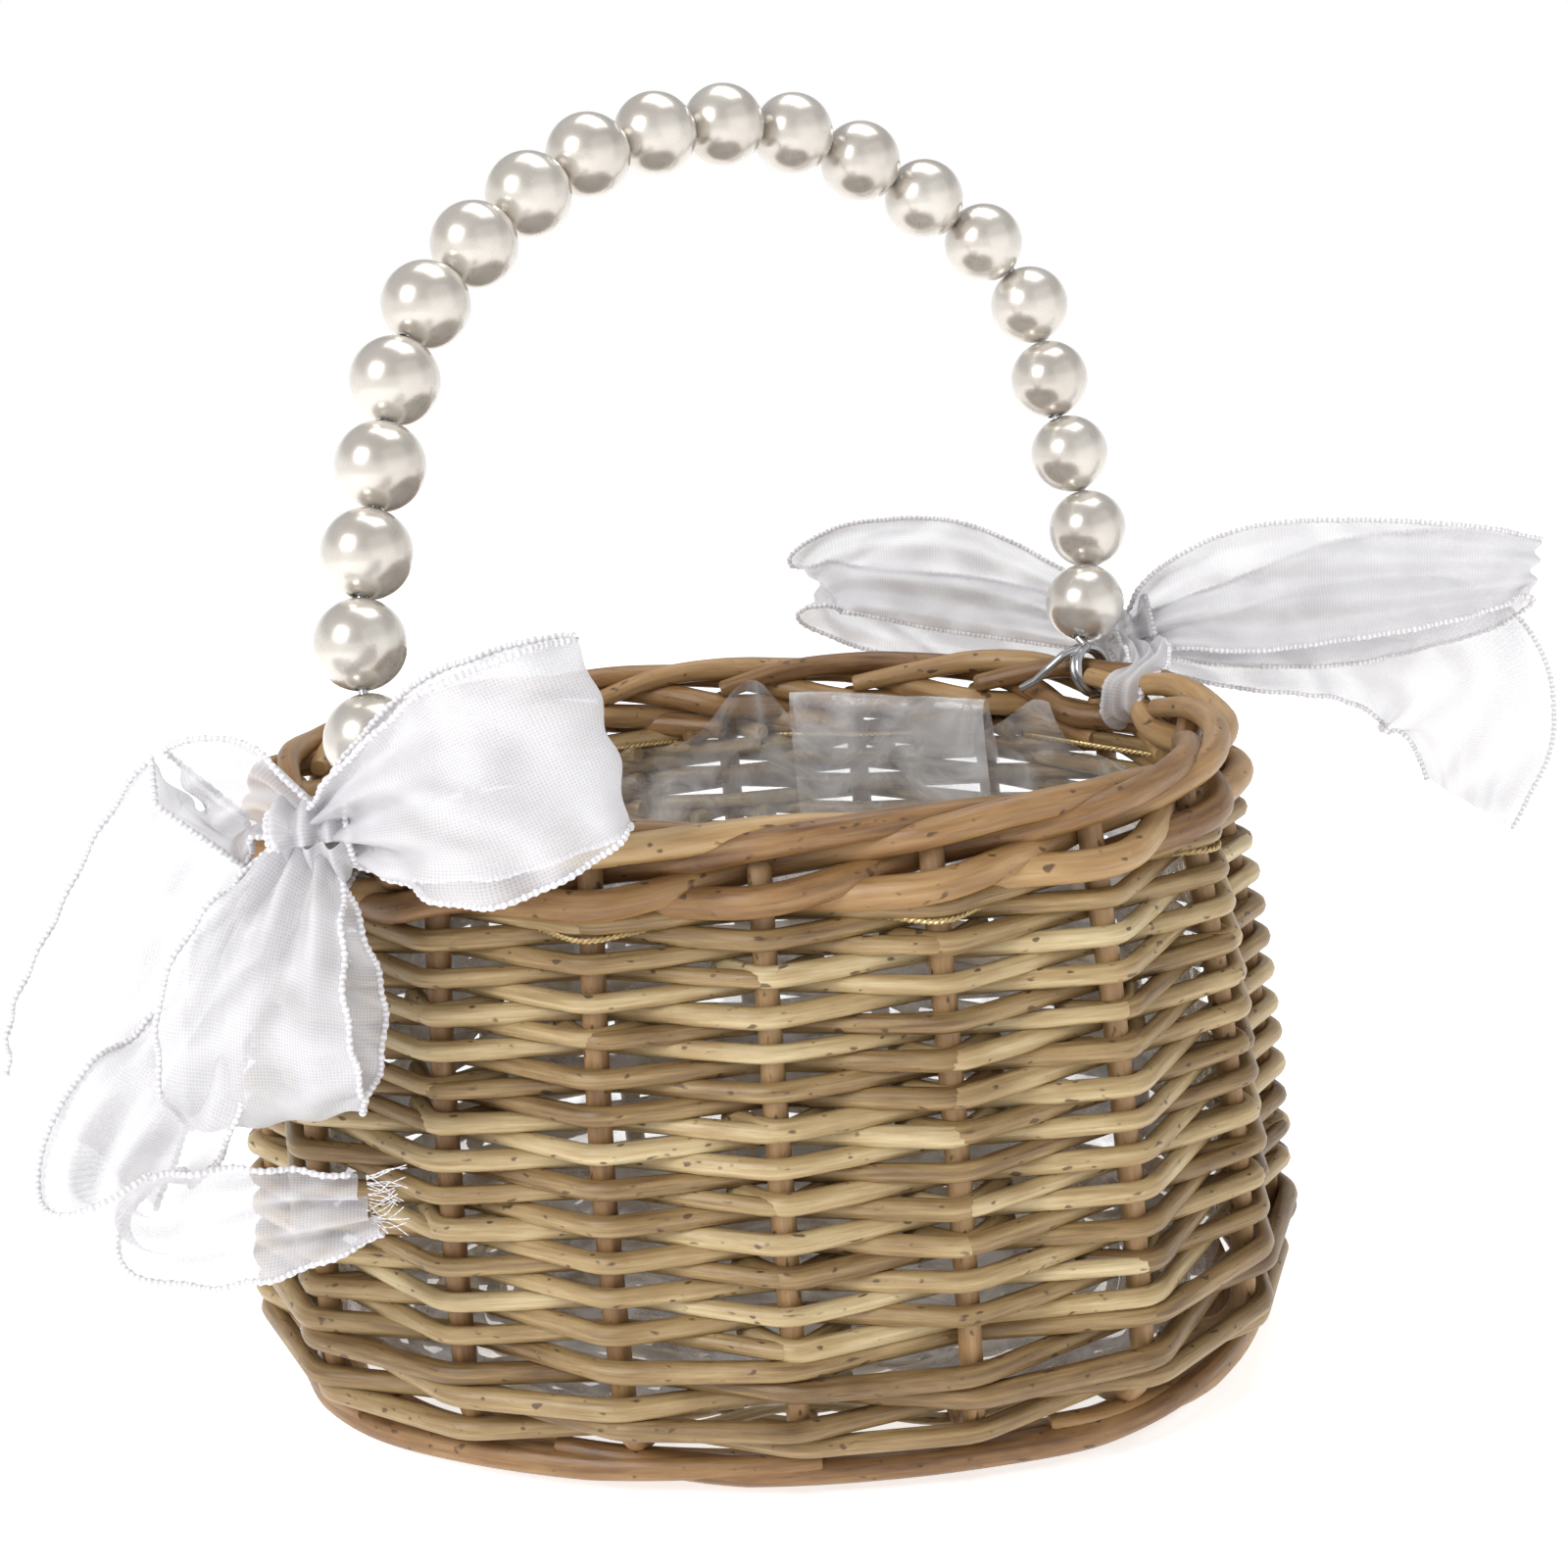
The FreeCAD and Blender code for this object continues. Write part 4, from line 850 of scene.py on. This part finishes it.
def knot(name, centre, axis, seed):
    """A short length of ribbon wrapped round the gathers, tight and creased."""
    axis = np.array(axis, float) / np.linalg.norm(axis)
    first = np.cross(axis, (0, 0, 1))
    first /= np.linalg.norm(first)
    second = np.cross(axis, first)
    turn = np.linspace(0, 2 * math.pi, 13)
    spine = [np.array(centre) + (first * math.cos(a) + second * math.sin(a)) * 5.2 for a in turn]
    ribbon(name, spine, [axis] * 13, [6.0] * 13, 1.6, seed)


knot("left_bow_knot", (-55, -80, 122.5), (1, 0.1, 0.1), 8)
knot("right_bow_knot", (72.5, 71, 120), (1, 0.1, 0.15), 9)

# a narrow turn of ribbon ties each knot to the rim, clear of the wire
ribbon("left_bow_tie",
       [(-55, -79, 121.5), (-59, -66, 122), (-60.6, -53, 121.4), (-55.5, -45, 118.5), (-55, -44.5, 112),
        (-59, -50, 109.5), (-61, -62, 111), (-57, -77, 120)],
       [(-0.8, 0.6, 0)] * 8, [4, 4, 4, 4, 4, 4, 4, 4], 1.6, 10, solid=False)
ribbon("right_bow_tie",
       [(72.5, 70, 119), (77, 55, 121), (77.3, 42.6, 120.3), (71.8, 35.4, 117.5), (71.3, 34.8, 111.5),
        (75.8, 40, 109.5), (79, 52, 111), (74, 68, 117.5)],
       [(0.8, -0.6, 0)] * 8, [4, 4, 4, 4, 4, 4, 4, 4], 1.6, 11, solid=False)

# ---------------------------------------------------------------- studio
# A pale floor, a sky that is white low down and dimmer overhead, and soft boxes; the camera looks
# from the front, a little from the right and above.

camera_data = bpy.data.cameras.new("camera")
camera = bpy.data.objects.new("camera", camera_data)
bpy.context.collection.objects.link(camera)
camera_data.sensor_width = 36
camera_data.lens = 54.8
EYE = Vector((0.0777, -0.4341, 0.2174))
AZIMUTH, DIP, TILT = math.radians(9.07), math.radians(13.94), math.radians(4.31)
aim = Vector((-math.sin(AZIMUTH) * math.cos(DIP), math.cos(AZIMUTH) * math.cos(DIP), -math.sin(DIP)))
right = Matrix.Rotation(TILT, 3, aim) @ aim.cross(Vector((0, 0, 1))).normalized()
view = Matrix((right, right.cross(aim), -aim)).transposed().to_4x4()
camera.matrix_world = Matrix.Translation(EYE) @ view
bpy.context.scene.camera = camera

floor_mesh = bpy.data.meshes.new("floor")
FLOOR_REACH = 6.0
floor_corners = [(x * FLOOR_REACH, y * FLOOR_REACH, 0) for x, y in ((-1, -1), (1, -1), (1, 1), (-1, 1))]
floor_mesh.from_pydata(floor_corners, [], [(0, 1, 2, 3)])
floor = bpy.data.objects.new("floor", floor_mesh)
bpy.context.collection.objects.link(floor)
paper, _, paper_shader, _ = new_material("floor_paper")
paper_shader.inputs["Base Color"].default_value = (0.85, 0.85, 0.85, 1)
paper_shader.inputs["Roughness"].default_value = 0.9
paper_shader.inputs["Emission Color"].default_value = (1, 1, 1, 1)
paper_shader.inputs["Emission Strength"].default_value = 0.68
floor_mesh.materials.append(paper)

world = bpy.data.worlds.new("studio")
world.use_nodes = True
sky = world.node_tree
sky_place = sky.nodes.new("ShaderNodeTexCoord")
sky_parts = sky.nodes.new("ShaderNodeSeparateXYZ")
sky_fade = sky.nodes.new("ShaderNodeMapRange")
sky_fade.interpolation_type = "SMOOTHSTEP"
sky_fade.inputs["From Min"].default_value, sky_fade.inputs["From Max"].default_value = 0.10, 0.45
sky_fade.inputs["To Min"].default_value, sky_fade.inputs["To Max"].default_value = 1.0, 0.38
sky.links.new(sky_place.outputs["Generated"], sky_parts.inputs[0])
sky.links.new(sky_parts.outputs["Z"], sky_fade.inputs["Value"])
sky.links.new(sky_fade.outputs["Result"], sky.nodes["Background"].inputs["Strength"])
sky.nodes["Background"].inputs["Color"].default_value = (1, 1, 1, 1)
bpy.context.scene.world = world
bpy.context.scene.view_settings.view_transform = "Standard"


def soft_box(name, place, width, height, power):
    """A rectangular light aimed at the middle of the basket."""
    data = bpy.data.lights.new(name, "AREA")
    data.shape = "RECTANGLE"
    data.size, data.size_y, data.energy = width, height, power
    light = bpy.data.objects.new(name, data)
    bpy.context.collection.objects.link(light)
    light.location = place
    light.rotation_euler = (Vector((0, 0, 0.1)) - Vector(place)).to_track_quat("-Z", "Y").to_euler()


soft_box("key", (-0.55, -0.75, 0.75), 0.45, 0.45, 7.5)
soft_box("fill", (0.8, -0.5, 0.45), 1.2, 1.2, 1.4)
soft_box("top", (0.1, 0.25, 1.0), 0.7, 0.5, 3.5)
